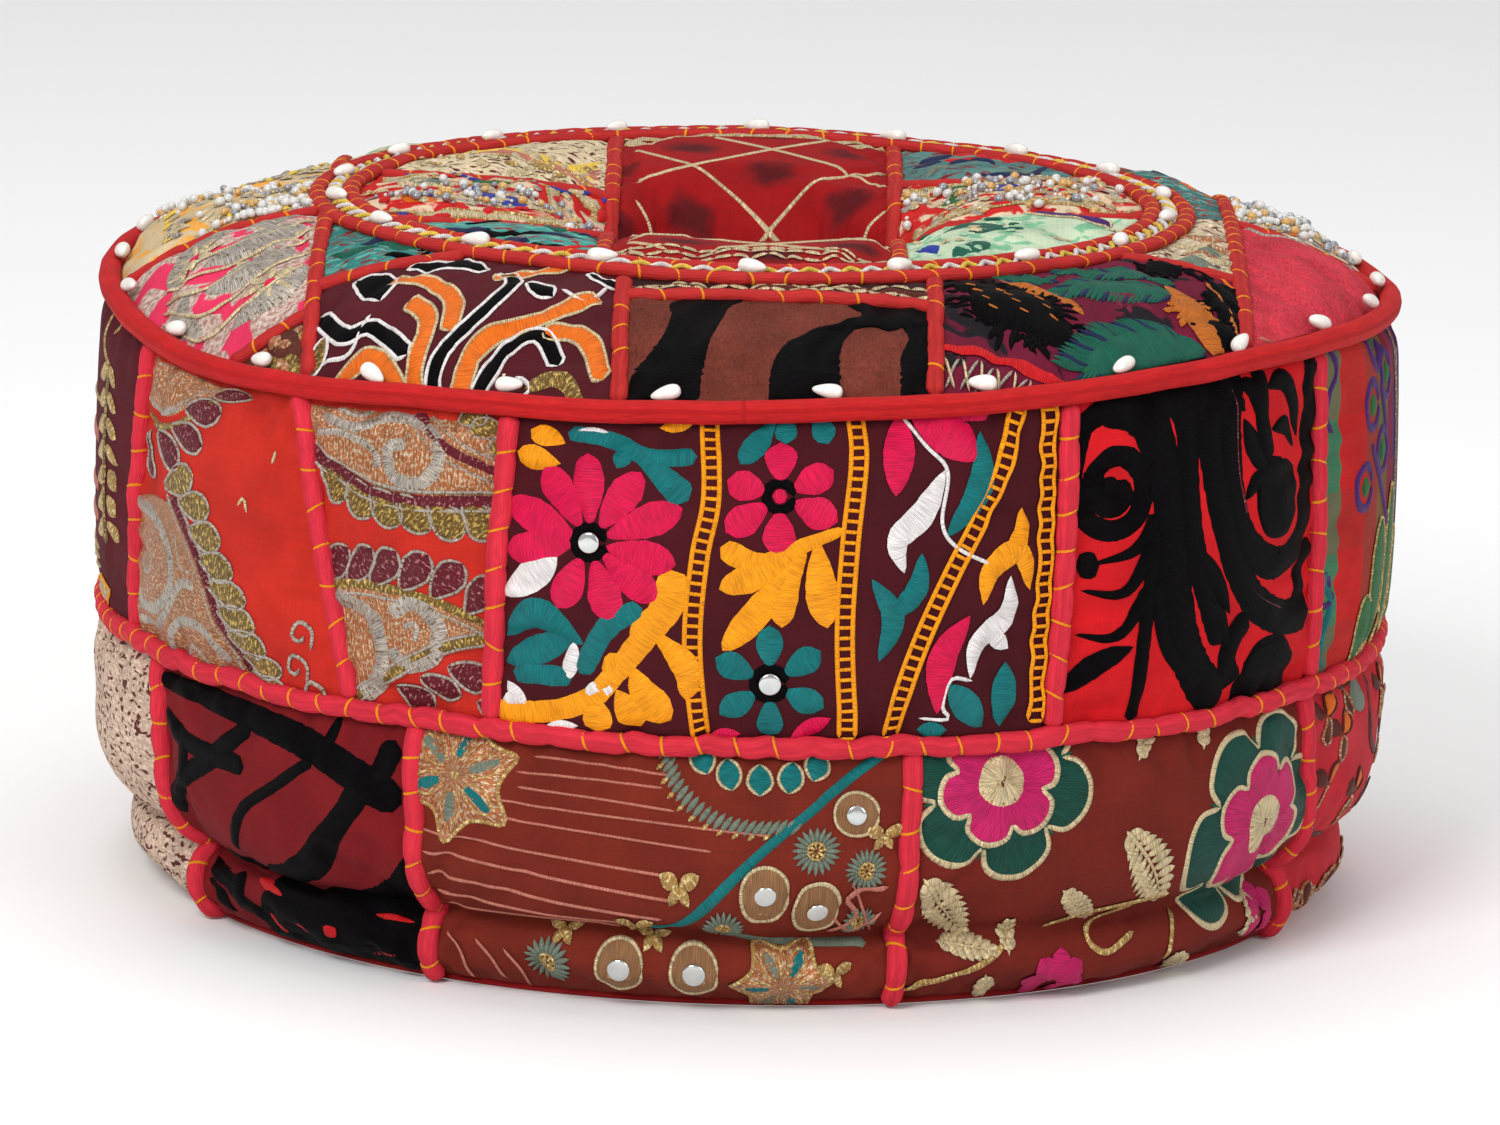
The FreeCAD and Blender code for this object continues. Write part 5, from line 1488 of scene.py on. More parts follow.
def tuft(colour, centre, size, seed, count=34):
    """A fuzzy clump of short stitches."""
    rng = random.Random(seed)
    rows = [("blob", colour, size * 1.3, [centre])]
    for _ in range(count):
        turn, out = rng.uniform(0, 2 * math.pi), size * rng.uniform(0.25, 0.8)
        foot = (centre[0] + out * math.cos(turn), centre[1] + out * math.sin(turn))
        reach = size * rng.uniform(0.25, 0.5)
        turn += rng.uniform(-0.6, 0.6)
        tip = (foot[0] + reach * math.cos(turn), foot[1] + reach * math.sin(turn))
        rows.append(("leaf", colour, 2.6, [foot, tip]))
    return rows


def black_fern():
    """Two clumps of black pile, feathery green fronds between them, and brushed ochre."""
    rows = tuft("berry", (150, -170), 14, 4)
    rows += [("leaf", "ochre", 10, [(102, -163), (122, -176), (136, -196)])]
    rows += tuft("black", (107, -198), 27, 1, 90) + tuft("black", (93, -182), 15, 2)
    rows += tuft("black", (122, -210), 16, 3) + fern((98, -160), (124, -158), 7)
    rows += fern((176, -138), (128, -144), 10) + fern((174, -158), (128, -174), 13)
    rows += tuft("black", (172, -120), 13, 5) + tuft("black", (197, -132), 14, 6, 50)
    rows += tuft("black", (197, -152), 14, 7, 50) + tuft("black", (192, -172), 12, 8)
    rows += fern((188, -186), (136, -226), 20)
    rows += [("leaf", "ochre", 15, [(170, -148), (181, -166), (196, -190)])]
    rows += tuft("ochre", (180, -166), 12, 9, 40)
    rows += [("line", "ochre", 2.0, [(188, -132), (197, -156), (203, -184)])]
    rows += [("leaf", "orange", 2.4, [(196, -112), (203, -122)])]
    for k in range(12):
        x, y = 88 + 3 * k, -184 - 6 * (k % 4)
        rows += [("leaf", "ochre", 1.6, [(x, y), (x + 5, y - 3)])]
    for k in range(7):
        rows += [("line", "cream", 1.2, [(80 + 7 * k, -238), (84 + 6 * k, -252)])]
        rows += [("line", "silver", 1.2, [(86 + 7 * k, -238), (80 + 6 * k, -252)])]
    return rows + [("band", "red", 5, [(78, -232), (106, -234), (138, -238)])]


def bead_rows(low_x, high_x, low_y, high_y, colours, count, seed):
    """Short dashes and knots of metallic thread, scattered over a rectangle."""
    rng = random.Random(seed)
    rows = []
    for _ in range(count):
        x, y = rng.uniform(low_x, high_x), rng.uniform(low_y, high_y)
        turn = rng.uniform(0, math.pi)
        size = rng.uniform(4, 11)
        end = (x + size * math.cos(turn), y + size * math.sin(turn))
        rows.append(("leaf", rng.choice(colours), rng.uniform(3, 5.5), [(x, y), end]))
    return rows


def pink_silver():
    """Brocade: silver scrolls and flowers that leave curved slivers of pink."""
    rows = [
        ("leaf", "silver", 22, [(-188, -66), (-206, -84), (-228, -90)]),
        ("leaf", "silver", 20, [(-190, -98), (-208, -112), (-226, -112)]),
        ("leaf", "silver", 16, [(-184, -124), (-196, -140), (-214, -146)]),
        ("leaf", "silver", 15, [(-214, -54), (-234, -66), (-246, -84)]),
        ("leaf", "silver", 12, [(-232, -104), (-238, -118), (-228, -132)]),
        ("leaf", "silver", 10, [(-184, -50), (-200, -54), (-212, -70)]),
    ]
    for x, y in ((-198, -78), (-206, -106), (-198, -132), (-232, -74)):
        rows += spray("leaf", "cream", 4, (x, y), 2, around((x, y), 12, range(0, 360, 45)))
        rows += [("blob", "pink", 5, [(x, y)])]
    for k in range(5):
        vein = [(-184, -60 - 16 * k), (-204, -78 - 15 * k), (-226, -82 - 14 * k), (-246, -74 - 8 * k)]
        rows += [("line", "cream", 1.4, vein)]
    return rows


def zigzag(x0, x1, y, rise, count, colour, width=2.0):
    """A wavy thread along x."""
    points = [(x0 + (x1 - x0) * k / count, y + (rise if k % 2 else -rise)) for k in range(count + 1)]
    return [("line", colour, width, [a, b]) for a, b in zip(points, points[1:])]


def red_quilt():
    """A lattice of couched silver thread that dips into the well, and a strip of brocade behind."""
    rows = []
    for start in range(-12, 13):
        for way in (1, -1):
            points = []
            for step in np.arange(-1.75, 9.76, 0.25):
                x = QUILT_NODE + QUILT_CELL * (2 * start + way * step)
                tall = 4.0 - step
                y = QUILT_DEPTH * math.copysign((abs(tall) / QUILT_ROWS) ** QUILT_EASE, tall)
                if abs(x) < 60:
                    points.append((x, y))
            if len(points) > 2:
                rows.append(("line", "cream", 1.7, points))
    for y in (147, 156):
        rows += [("band", "cream", 6, [(-58, y), (0, y + 1), (58, y)])] + zigzag(-58, 58, y, 3, 18, "zari")
    for y in (-139, -146, -153):
        rows += zigzag(-58, 58, y, 1.6, 16, "cream", 1.8)
    return rows


def cream_fan():
    """Long diagonal strokes that open like a fan, with a few loops."""
    rows = []
    for k in range(7):
        ray = [(-146 + 7 * k, 126 - 5 * k), (-110 + 4 * k, 96 - 2 * k), (-66, 62 + 7 * k)]
        rows += [("leaf", "yellow", 5, ray)]
    for k in range(6):
        ray = [(-140 + 9 * k, 112 - 5 * k), (-100 + 4 * k, 84 - 2 * k), (-66, 58 + 7 * k)]
        rows += [("line", "blush", 1.8, ray)]
    rows += [ring("zari", 1.8, (-80, 64), 7), ring("cream", 1.8, (-100, 62), 6)]
    return rows + bead_rows(-150, -64, 54, 90, ("cream", "zari"), 40, 30)


def beaded_left():
    rows = [
        ("blob", "blue", 22, [(-110, -20)]), ring("cream", 3, (-110, -20), 15),
        ring("silver", 3, (-110, -20), 20),
        ("blob", "sage", 16, [(-140, 6)]), ring("cream", 3, (-140, 6), 11),
        ("leaf", "leaf", 12, [(-124, 12), (-104, 22)]),
        ("line", "cream", 6, [(-160, 30), (-120, 40), (-66, 36)], "zari"),
        ("line", "cream", 6, [(-158, -50), (-120, -58), (-66, -50)], "zari"),
        ("line", "cream", 5, [(-88, 30), (-84, 0), (-90, -40)], "zari"),
        ("leaf", "orange", 10, [(-150, -30), (-134, -42)]),
    ]
    mix = ("cream", "silver", "red", "zari", "cream", "blue")
    return rows + bead_rows(-164, -64, -64, 46, mix, 150, 31)


def beaded_right():
    rows = [
        ("line", "leaf", 8, [(82, 62), (92, 48), (84, 34), (94, 22)], "cream"),
        ("blob", "blue", 14, [(110, 40)]),
        ring("cream", 3, (110, 40), 11), ring("zari", 3, (132, 20), 12),
        ("blob", "orange", 12, [(132, 20)]),
        ("line", "cream", 6, [(66, 66), (110, 60), (150, 50)], "zari"),
        ("line", "cream", 6, [(66, 0), (110, 4), (164, 2)], "zari"),
    ]
    return rows + bead_rows(66, 160, -12, 74, ("cream", "silver", "cream", "zari", "red"), 150, 32)


def mint_right():
    rows = [
        ("leaf", "fern", 13, [(80, -40), (100, -60), (96, -84)]),
        ("leaf", "fern", 12, [(100, -110), (84, -130)]),
        ("leaf", "purple", 20, [(112, -20), (134, -34), (152, -52)], "cream"),
        ("leaf", "blue", 9, [(70, -100), (78, -122)]),
    ]
    return rows + bead_rows(66, 150, -130, -20, ("mint", "cream", "fern"), 40, 33)


def streaks(low_x, high_x, low_y, high_y, colours, seed):
    """Brushed strokes that all run across."""
    rng = random.Random(seed)
    rows = []
    for _ in range(16):
        x, y = rng.uniform(low_x, high_x), rng.uniform(low_y, high_y)
        reach = rng.uniform(12, 26)
        middle = (x + reach / 2, y + rng.uniform(-7, 7))
        colour, width = rng.choice(colours), rng.uniform(4, 9)
        rows.append(("leaf", colour, width, [(x, y), middle, (x + reach, y + rng.uniform(-6, 6))]))
    return rows


def chenille(low_x, high_x, low_y, high_y, colours, seed):
    """Short tufts that hang the same way."""
    rng = random.Random(seed)
    rows = []
    for _ in range(26):
        x, y = rng.uniform(low_x, high_x), rng.uniform(low_y, high_y)
        colour = rng.choice(colours)
        rows.append(("leaf", colour, 6, [(x, y), (x + rng.uniform(4, 12), y + rng.uniform(-14, -4))]))
    return rows


def velvet():
    return [
        ("line", "silver", 2.0, [(210, -6), (226, -10), (240, -4), (256, -12)]),
        ("line", "blush", 1.4, [(210, -160), (226, -150), (238, -132)]),
    ]


def rear_vine():
    """Trailing stem with roses and leaves, for the teal patch behind."""
    rows = [("line", "gold", 3, [(6, 130), (50, 200), (100, 150), (150, 205), (200, 150), (246, 210)])]
    for x, y in ((30, 215), (80, 150), (126, 215), (176, 150), (226, 215)):
        rows += spray("petal", "pink", 11, (x, y), 5, around((x, y), 22, range(0, 360, 60)))
        rows += [ring("black", 3.6, (x, y), 5.4), ("blob", "white", 5, [(x, y)])]
    for x, y in (
        (52, 236), (104, 236), (152, 236), (204, 236), (54, 136), (104, 128), (152, 132), (204, 128),
    ):
        rows += [("leaf", "gold", 9, [(x - 14, y), (x, y + 4), (x + 12, y - 4)])]
    return rows


# Patch, what is scattered over it, the rectangle in plan, the colours, how many if asked, and a seed.
SCATTERED = {
    "top_patch_teal_corner": (streaks, -178, -120, -142, -60, ("red", "black", "fern", "navy"), 41),
    "top_patch_cream_corner": (streaks, 170, 200, -100, -50, ("sage", "tan", "cream"), 42),
    "top_patch_brown_corner": (chenille, -206, -182, -190, -165, ("tan", "brown", "olive"), 43),
    "top_patch_blue_bead": (
        bead_rows, -250, -185, -40, 130, ("cream", "silver", "cream", "yellow", "silver"), 150, 44),
    "top_patch_silver_bead": (
        bead_rows, 208, 252, 4, 120, ("silver", "cream", "orange", "zari"), 120, 45),
    "top_patch_cream_back": (
        bead_rows, -170, 66, 180, 250, ("cream", "sage", "zari", "leaf", "yellow"), 150, 46),
    "top_patch_teal_back": (streaks, 76, 195, 90, 240, ("red", "fern", "navy", "orange"), 47),
    "inner_patch_teal_left": (streaks, -130, -70, -140, -76, ("red", "black", "fern", "navy"), 48),
    "inner_patch_teal_right": (streaks, 66, 125, 84, 140, ("red", "sage", "navy"), 49),
}
# Patch, and the function that draws its motifs.
MOTIFS = {
    "upper_patch_maroon_gold": maroon_gold,
    "upper_patch_paisley_left": paisley_left,
    "upper_patch_paisley_right": paisley_right,
    "upper_patch_mirror_flowers": mirror_flowers,
    "upper_patch_black_scroll": black_scroll,
    "upper_patch_green_plaid": green_plaid,
    "upper_patch_teal_vine": rear_vine,
    "upper_patch_rear_flowers": lambda: mirrored(mirror_flowers(), 244),
    "upper_patch_rear_paisley": lambda: shifted(paisley_left(), -6) + shifted(paisley_right(), 152),
    "lower_patch_black_brush": black_brush,
    "lower_patch_star_mirror": star_mirror,
    "lower_patch_rose_vine": rose_vine,
    "lower_patch_pink_leaf": pink_leaf,
    "lower_patch_rear_brown": lambda: (
        shifted(rose_vine(), 4) + rosette((290, 70), 14) + star((300, 100), 20, 0)),
    "lower_patch_rear_red": lambda: black_brush() + shifted(black_brush(), 168),
    "top_patch_maroon_swirl": lambda: to_rim(maroon_swirl()),
    "top_patch_brown_zebra": brown_zebra,
    "top_patch_braid_strip": braid_strip,
    "top_patch_black_fern": black_fern,
    "top_patch_pink_silver": pink_silver,
    "top_patch_red_velvet": velvet,
    "inner_patch_red_quilt": red_quilt,
    "inner_patch_cream_fan": cream_fan,
    "inner_patch_beaded_left": beaded_left,
    "inner_patch_beaded_right": beaded_right,
    "inner_patch_mint_right": mint_right,
}


def motifs_of(name):
    """The strokes that are sewn on a patch."""
    if name in SCATTERED:
        scatter, *rest = SCATTERED[name]
        return scatter(*rest)
    return MOTIFS[name]() if name in MOTIFS else []


# ---------------------------------------------------------------- the patches themselves
STITCH_PITCH = 15.5


def puckers(distance, along):
    """Small gathers beside a cord, one at each of its stitches."""
    return -0.55 * np.exp(-distance / 7.0) * (0.5 + 0.5 * np.cos(2 * math.pi * along / STITCH_PITCH))


def side_cloth(patch):
    """Points, faces and chart of a patch of the side."""
    tier = patch.tier
    low, high = cover.side_row(np.array([tier[0], min(tier[1], RIM_TUCK[1])]))
    count = int((high - low) * COARSE_STEP / FINE_STEP) + 2
    rows = np.linspace(low, high, count)
    heights = np.interp(rows, np.arange(cover.rim_row + 1), cover.height[: cover.rim_row + 1])
    left, right = patch.edges(heights)
    wide = math.radians(np.max(right - left)) * CHART_RADIUS
    across = np.linspace(0, 1, int(wide / FINE_STEP) + 2)
    angle = left[:, None] + (right - left)[:, None] * across
    arc_mm = np.radians(angle - patch.zero) * CHART_RADIUS
    tall = np.repeat(heights[:, None], len(across), 1)
    edge = np.minimum(across, 1 - across)[None, :] * wide
    ends = np.minimum(tall - tier[0], tier[1] - tall)
    rise = puckers(edge, tall) + puckers(ends, arc_mm)
    points = cover.at(np.repeat(rows[:, None], len(across), 1), np.radians(angle), rise)
    return points, grid_faces(count, len(across), False), np.stack([arc_mm, tall], -1)


def top_grid(outer, inner, columns):
    """Points, faces and plan of the top between two radii."""
    rows = np.arange(cover.top_row(outer), cover.top_row(inner), FINE_STEP / COARSE_STEP)
    row, angle = np.meshgrid(rows, circle(columns), indexing="ij")
    radius = np.interp(row, np.arange(cover.rows), cover.radius)
    plan = turned(radius, angle, 0.0)[..., :2]
    return cover.at(row, angle).reshape(-1, 3), grid_faces(len(rows), columns), plan.reshape(-1, 2)


def pick(grid, limits):
    """The part of a grid whose faces have their middle inside a rectangle in plan."""
    points, faces, plan = grid
    middle = plan[faces].mean(1)
    low_x, high_x, low_y, high_y = limits
    x, y = middle.T
    inside = (x > low_x) & (x <= high_x) & (y > low_y) & (y <= high_y)
    kept, numbers = np.unique(faces[inside], return_inverse=True)
    return points[kept], numbers.reshape(-1, 4), plan[kept]


def add_cloth(name, points, faces, uv):
    cloth = cloth_material(name, *CLOTHS[name])
    piece = new_object("cloth_" + name.replace("_patch", ""), points, faces, [cloth], uv)
    thicken(piece)
    stand_for(piece, name)


def side_patches():
    """The patches of both tiers, each between its own seam and the next one round."""
    patches = []
    for seams, tier in ((UPPER_SEAMS, UPPER_Z), (LOWER_SEAMS, LOWER_Z)):
        round_again = (seams[0][0], seams[0][1] + 360.0, seams[0][2] + 360.0)
        for row, following in zip(seams, seams[1:] + [round_again]):
            patches.append(SidePatch(row, following, tier))
    return patches


def add_patches():
    patches = side_patches()
    for patch in patches:
        add_cloth(patch.name, *side_cloth(patch))
    for rows, grid, reach in (
        (OUTER_PATCHES, top_grid(270.0, 184.0, 620), (188.0, 267.5)),
        (INNER_PATCHES, top_grid(173.0, 2.2, 400), (18.0, 169.0)),
    ):
        for row in rows:
            add_cloth(row[0], *pick(grid, row[1:]))
            patches.append(TopPatch(row, reach))
    add_cloth("bead_track_band", *top_grid(187.5, 170.2, 440))
    for patch in patches:
        rows = motifs_of(patch.name)
        if rows:
            embroider(patch, rows)


# ---------------------------------------------------------------- cords, wraps, welt
CORD_RADIUS = 4.5
# Cords by their radius, how flat they are pressed, and the share of their stitches still there.
SIDE_CORD = (CORD_RADIUS, 1.0, 1.0)
OUTER_CORD = (3.7, 0.72, 0.7)
INNER_CORD = (3.6, 0.68, 0.6)
# The trim at the foot, and how often the two strands between the ring cords go round each other.
TRIM_RADIUS = 243.6
TWISTS = 64


def resample(points, normals, step, closed):
    """Even steps along a path: points, normals, length so far and the whole length."""
    if closed:
        points = np.concatenate([points, points[:1]])
        normals = np.concatenate([normals, normals[:1]])
    length = np.concatenate([[0], np.cumsum(np.linalg.norm(np.diff(points, axis=0), axis=1))])
    count = max(8, int(length[-1] / step))
    even = np.linspace(0, length[-1], count + 1)
    if closed:
        even = even[:-1]
    out = [np.stack([np.interp(even, length, a[:, i]) for i in range(3)], -1) for a in (points, normals)]
    return out[0], out[1], even, length[-1]


def frames(points, normals, closed):
    """Unit ways along, up from and to the side of a path."""
    if closed:
        padded = np.concatenate([points[-1:], points, points[:1]])
        tangent = unit((padded[2:] - padded[:-2]) / 2)
    else:
        tangent = unit(np.gradient(points, axis=0))
    normals = unit(normals - tangent * np.sum(normals * tangent, 1, keepdims=True))
    return tangent, normals, np.cross(tangent, normals)


def tube(sheaf, points, normals, radii, material, closed, along, sides=12, flat=1.0):
    _, up, side = frames(points, normals, closed)
    angle = circle(sides)
    spoke = up[:, None] * (np.cos(angle) * flat)[:, None] + side[:, None] * np.sin(angle)[:, None]
    rings = points[:, None] + spoke * radii[:, None, None]
    uv = np.stack(np.broadcast_arrays(along[:, None], (angle * CORD_RADIUS)[None]), -1)
    faces = grid_faces(len(points), sides)
    if closed:
        rings, uv = [
            np.concatenate([grid, grid[:1]]) for grid in (rings.transpose(1, 0, 2), uv.transpose(1, 0, 2))
        ]
        faces = grid_faces(sides + 1, len(points))[:, ::-1]
    sheaf.add(rings, faces, uv, material)


def add_wrap(sheaf, centre, tangent, up, side, radius, slant, material):
    """One stitch wound round a cord: a half-round band, a little slanted."""
    angle = circle(14)
    spoke = up * np.cos(angle)[:, None] + side * np.sin(angle)[:, None]
    lean = tangent * (slant * np.sin(angle))[:, None]
    profile = ((-0.7, -0.25), (-0.45, 0.25), (0.0, 0.36), (0.45, 0.25), (0.7, -0.25))
    bands = [centre + lean + spoke * (radius + rise) + tangent * reach for reach, rise in profile]
    uv = np.stack(np.broadcast_arrays(np.arange(5)[:, None] * 0.6, (angle * radius)[None]), -1)
    sheaf.add(np.stack(bands), grid_faces(5, len(angle)), uv, material)


def add_cord(cords, wraps, path, material, closed, rng, cord):
    """A plump cord with stitches over it. A cord is (radius, how flat, share of its stitches kept)."""
    (points, normals), (radius, flat, kept) = path, cord
    points, normals, along, total = resample(points, normals, 1.6, closed)
    pitch = total / max(1, round(total / STITCH_PITCH))
    phase = np.mod(along / pitch + 0.5, 1.0) - 0.5
    plump = 1 - 0.14 * np.exp(-((phase * pitch / 2.0) ** 2))
    count = int(round(total / pitch))
    number = along / pitch
    fat = np.array([rng.uniform(-0.05, 0.06) for _ in range(count + 2)])
    drift = np.array([rng.uniform(-0.45, 0.45) for _ in range(count + 2)])
    if closed:
        fat[count:], drift[count:] = fat[0], drift[0]
    plump = plump + np.interp(number, np.arange(count + 2), fat)
    tangent, up, side = frames(points, normals, closed)
    points = points + side * np.interp(number, np.arange(count + 2), drift)[:, None]
    radii = np.minimum(radius * plump, np.maximum(points[:, 2] - 0.3, 0.3))
    if not closed:
        radii = radii * np.clip(np.sqrt(np.minimum(along, total - along) / 2.5), 0.15, 1)
    tube(cords, points, normals, radii, material, closed, along + rng.uniform(0, 900), 12, flat)
    for k in range(0 if closed else 1, count):
        n = int(np.argmin(np.abs(along - k * pitch)))
        slant = rng.uniform(0.6, 2.2) * rng.choice((1, 1, -1))
        if rng.random() < kept:
            add_wrap(wraps, points[n], tangent[n], up[n] * flat, side[n], radii[n], slant, "wrap")


def on_cover(row, theta, rise):
    """A place on the cover and the cover's normal there."""
    return cover.at(row, theta, rise), cover.normal(row, theta)


def ring_path(row, rise):
    theta = circle(720)
    return on_cover(np.full(720, float(row)), theta, np.full(720, rise))


def seam_path(row, tier, low, high):
    """An upright seam of the side, not quite straight."""
    height = np.linspace(low, high, 60)
    theta = np.radians(seam_angle(row, height, tier))
    rng = random.Random(row[0])
    drift = wave(height / 60.0, rng.random(), (1, 2, 3)) * 0.8 / CHART_RADIUS
    return on_cover(cover.side_row(height), theta + drift, np.full(60, 0.9))


def plan_paths(line, reach):
    """A straight seam in plan, cut into runs where its radius is within reach."""
    share = np.linspace(0, 1, 160)[:, None]
    places = np.array(line[0]) * (1 - share) + np.array(line[1]) * share
    radius = np.hypot(*places.T)
    inside = (radius >= reach[0]) & (radius <= reach[1])
    runs = np.split(np.arange(len(places)), np.flatnonzero(np.diff(inside.astype(int))) + 1)
    out = []
    for run in runs:
        if inside[run[0]] and len(run) > 6:
            spots, theta = cover.top_row(radius[run]), np.arctan2(places[run, 0], -places[run, 1])
            out.append(on_cover(spots, theta, np.full(len(run), 1.0)))
    return out


def build_pair(stem, node, cords, wraps=None):
    """A cord's cloth, which stands for a node of the frame, and its stitches if it has any."""
    stand_for(cords.build(stem + "_cloth", CORD_MATERIALS.get), node)
    if wraps:
        wraps.build(stem + "_stitches", CORD_MATERIALS.get)


CORD_MATERIALS = {
    "pink": cord_material("side_cord_cloth", (212, 44, 62)),
    "red": cord_material("top_cord_cloth", (182, 40, 38)),
    "welt": cord_material("welt_cloth", (186, 24, 26)),
    "trim": cord_material("trim_cloth", (150, 20, 22)),
    "wrap": thread("gold"),
    "twist_yellow": thread("yellow"),
    "twist_white": thread("white"),
}


def add_cords():
    rng = random.Random(SEED)
    for name, seams, tier, span in (
        ("upper_seam_cords", UPPER_SEAMS, UPPER_Z, (120.0, 253.5)),
        ("lower_seam_cords", LOWER_SEAMS, LOWER_Z, (2.6, 114.5)),
    ):
        cords, wraps = Sheaf(), Sheaf()
        for row in seams:
            add_cord(cords, wraps, seam_path(row, tier, *span), "pink", False, rng, SIDE_CORD)
        build_pair(name, name, cords, wraps)
    cords, wraps = Sheaf(), Sheaf()
    for lines, reach, cord in (
        (OUTER_LINES, (187.0, 268.6), OUTER_CORD), (INNER_LINES, (0.0, 170.0), INNER_CORD),
    ):
        for line in lines:
            for path in plan_paths(line, reach):
                add_cord(cords, wraps, path, "red", False, rng, cord)
    build_pair("top_cords", "top_seam_cords", cords, wraps)
    for name, node, row, rise, key, cord in (
        ("tier_cord", "tier_seam_cord", cover.side_row(117.0), 3.6, "pink", (4.5, 1.0, 0.94)),
        ("outer_ring", "ring_cord_outer", cover.top_row(RING_OUTER), 1.9, "red", (3.9, 0.74, 0.94)),
        ("inner_ring", "ring_cord_inner", cover.top_row(RING_INNER), 1.9, "red", (3.9, 0.74, 0.94)),
    ):
        cords, wraps = Sheaf(), Sheaf()
        add_cord(cords, wraps, ring_path(row, rise), key, True, rng, cord)
        build_pair(name, node, cords, wraps)


def add_welt():
    """The plain welt at the rim, and the thin trim at the foot."""
    theta = circle(900)
    base = cover.at(np.full(900, cover.side_row(RIM_TUCK[1])), theta)
    outward = turned(1.0, theta, 0.0)
    sag = 0.7 * wave(theta, 21, (13, 19, 26)) + 0.5 * wave(theta, 22, (31, 47))
    points = base + outward * (4.0 + 0.5 * wave(theta, 23, (9, 17, 29)))[:, None]
    points[:, 2] += 2.4 + sag
    radii = 4.9 * (1 + 0.06 * wave(theta, 24, (37, 53, 71)))
    points, outward, along, _ = resample(points, outward, 1.9, True)
    radii = np.interp(np.linspace(0, 1, len(points)), np.linspace(0, 1, 900), radii)
    sheaf = Sheaf()
    tube(sheaf, points, outward, radii, "welt", True, along, 16)
    build_pair("rim_welt", "rim_welt", sheaf)
    sheaf = Sheaf()
    points, outward = turned(TRIM_RADIUS, theta, 2.0), turned(1.0, theta, 0.0)
    tube(sheaf, points, outward, np.full(900, 1.8), "trim", True, theta * TRIM_RADIUS, 8)
    build_pair("foot_trim", "base_trim", sheaf)


def add_track_thread():
    """Two strands wound round each other on the band between the ring cords."""
    theta = np.linspace(0, 2 * math.pi, 2600, endpoint=False)
    sheaf = Sheaf()
    for phase, key in ((0.0, "twist_yellow"), (math.pi, "twist_white")):
        turn = theta * TWISTS + phase
        row = cover.top_row(TRACK + 2.4 * np.cos(turn))
        points, normals = on_cover(row, theta, 1.5 + 0.9 * np.sin(turn))
        tube(sheaf, points, normals, np.full(len(theta), 1.05), key, True, theta * TRACK, 6)
    sheaf.build("track_thread", CORD_MATERIALS.get)


# ---------------------------------------------------------------- beads, mirrors, button
RIM_BEADS, TRACK_BEADS = 26, 18
BUTTON_PLEATS = 15


def add_turned(sheaf, key, centre, along, up, profile, sides, squash=1.0):
    """A turned form about the along axis; profile is (place along, radius)."""
    side, angle = np.cross(along, up), circle(sides)
    spoke = up * (np.cos(angle) * squash)[:, None] + side * np.sin(angle)[:, None]
    points = np.stack([centre + along * place + spoke * radius for place, radius in profile])
    sheaf.add(points, grid_faces(len(profile), sides), np.zeros((*points.shape[:2], 2)), key)


def add_beads():
    """Shell beads, each worn to its own shape, lying along the rim and between the ring cords."""
    rng = random.Random(SEED + 1)
    glass = hard_material("shell_bead", (238, 234, 226), 0.22, 0.0, 260.0, 0.0001, 0.4)
    sheaf = Sheaf()
    spots = [(theta, 265.8, 4.6) for theta in circle(RIM_BEADS) + math.pi / RIM_BEADS]
    spots += [(theta, TRACK, 4.2) for theta in circle(TRACK_BEADS)]
    for theta, radius, rise in spots:
        theta = np.array(theta + rng.uniform(-0.006, 0.006))
        centre, up = on_cover(cover.top_row(radius), theta, np.array(rise))
        up = unit(up)
        along = np.array([np.cos(theta), np.sin(theta), 0.0])
        turn = rng.uniform(-0.5, 0.5)
        along = along * math.cos(turn) + np.cross(along, up) * math.sin(turn)
        along = unit(along - up * (along @ up))
        half = rng.uniform(5.6, 6.6)
        thick = rng.uniform(3.0, 3.6)
        steps = np.linspace(0, math.pi, 13)
        bulge = rng.choice((-1, 1)) * rng.uniform(0.15, 0.4)
        profile = [
            (-half * math.cos(t), max(0.05, thick * math.sin(t) ** 0.8 * (1 + bulge * math.cos(t))))
            for t in steps
        ]
        add_turned(sheaf, "bead", centre, along, up, profile, 16, 0.86)
    stand_for(sheaf.build("shell_beads_turned", lambda key: glass), "shell_beads")


# Node, its rectangle in plan, how many beads, and the share of each colour of bead.
PEARL_FIELDS = [
    ("top_patch_silver_bead", (209, 256, 6, 130), 340,
     ("pearl", "pearl", "pearl", "steel", "steel", "amber")),
    ("top_patch_blue_bead", (-252, -186, -38, 60), 300, ("pearl", "pearl", "steel", "amber", "pearl")),
    ("inner_patch_beaded_right", (68, 158, -8, 70), 150, ("pearl", "amber", "steel", "pearl")),
    ("inner_patch_beaded_left", (-160, -66, -60, 44), 90, ("pearl", "amber", "steel", "steel")),
]
PEARL_COLOURS = {
    "pearl": (214, 212, 208), "steel": (150, 152, 158), "amber": (206, 158, 84),
}


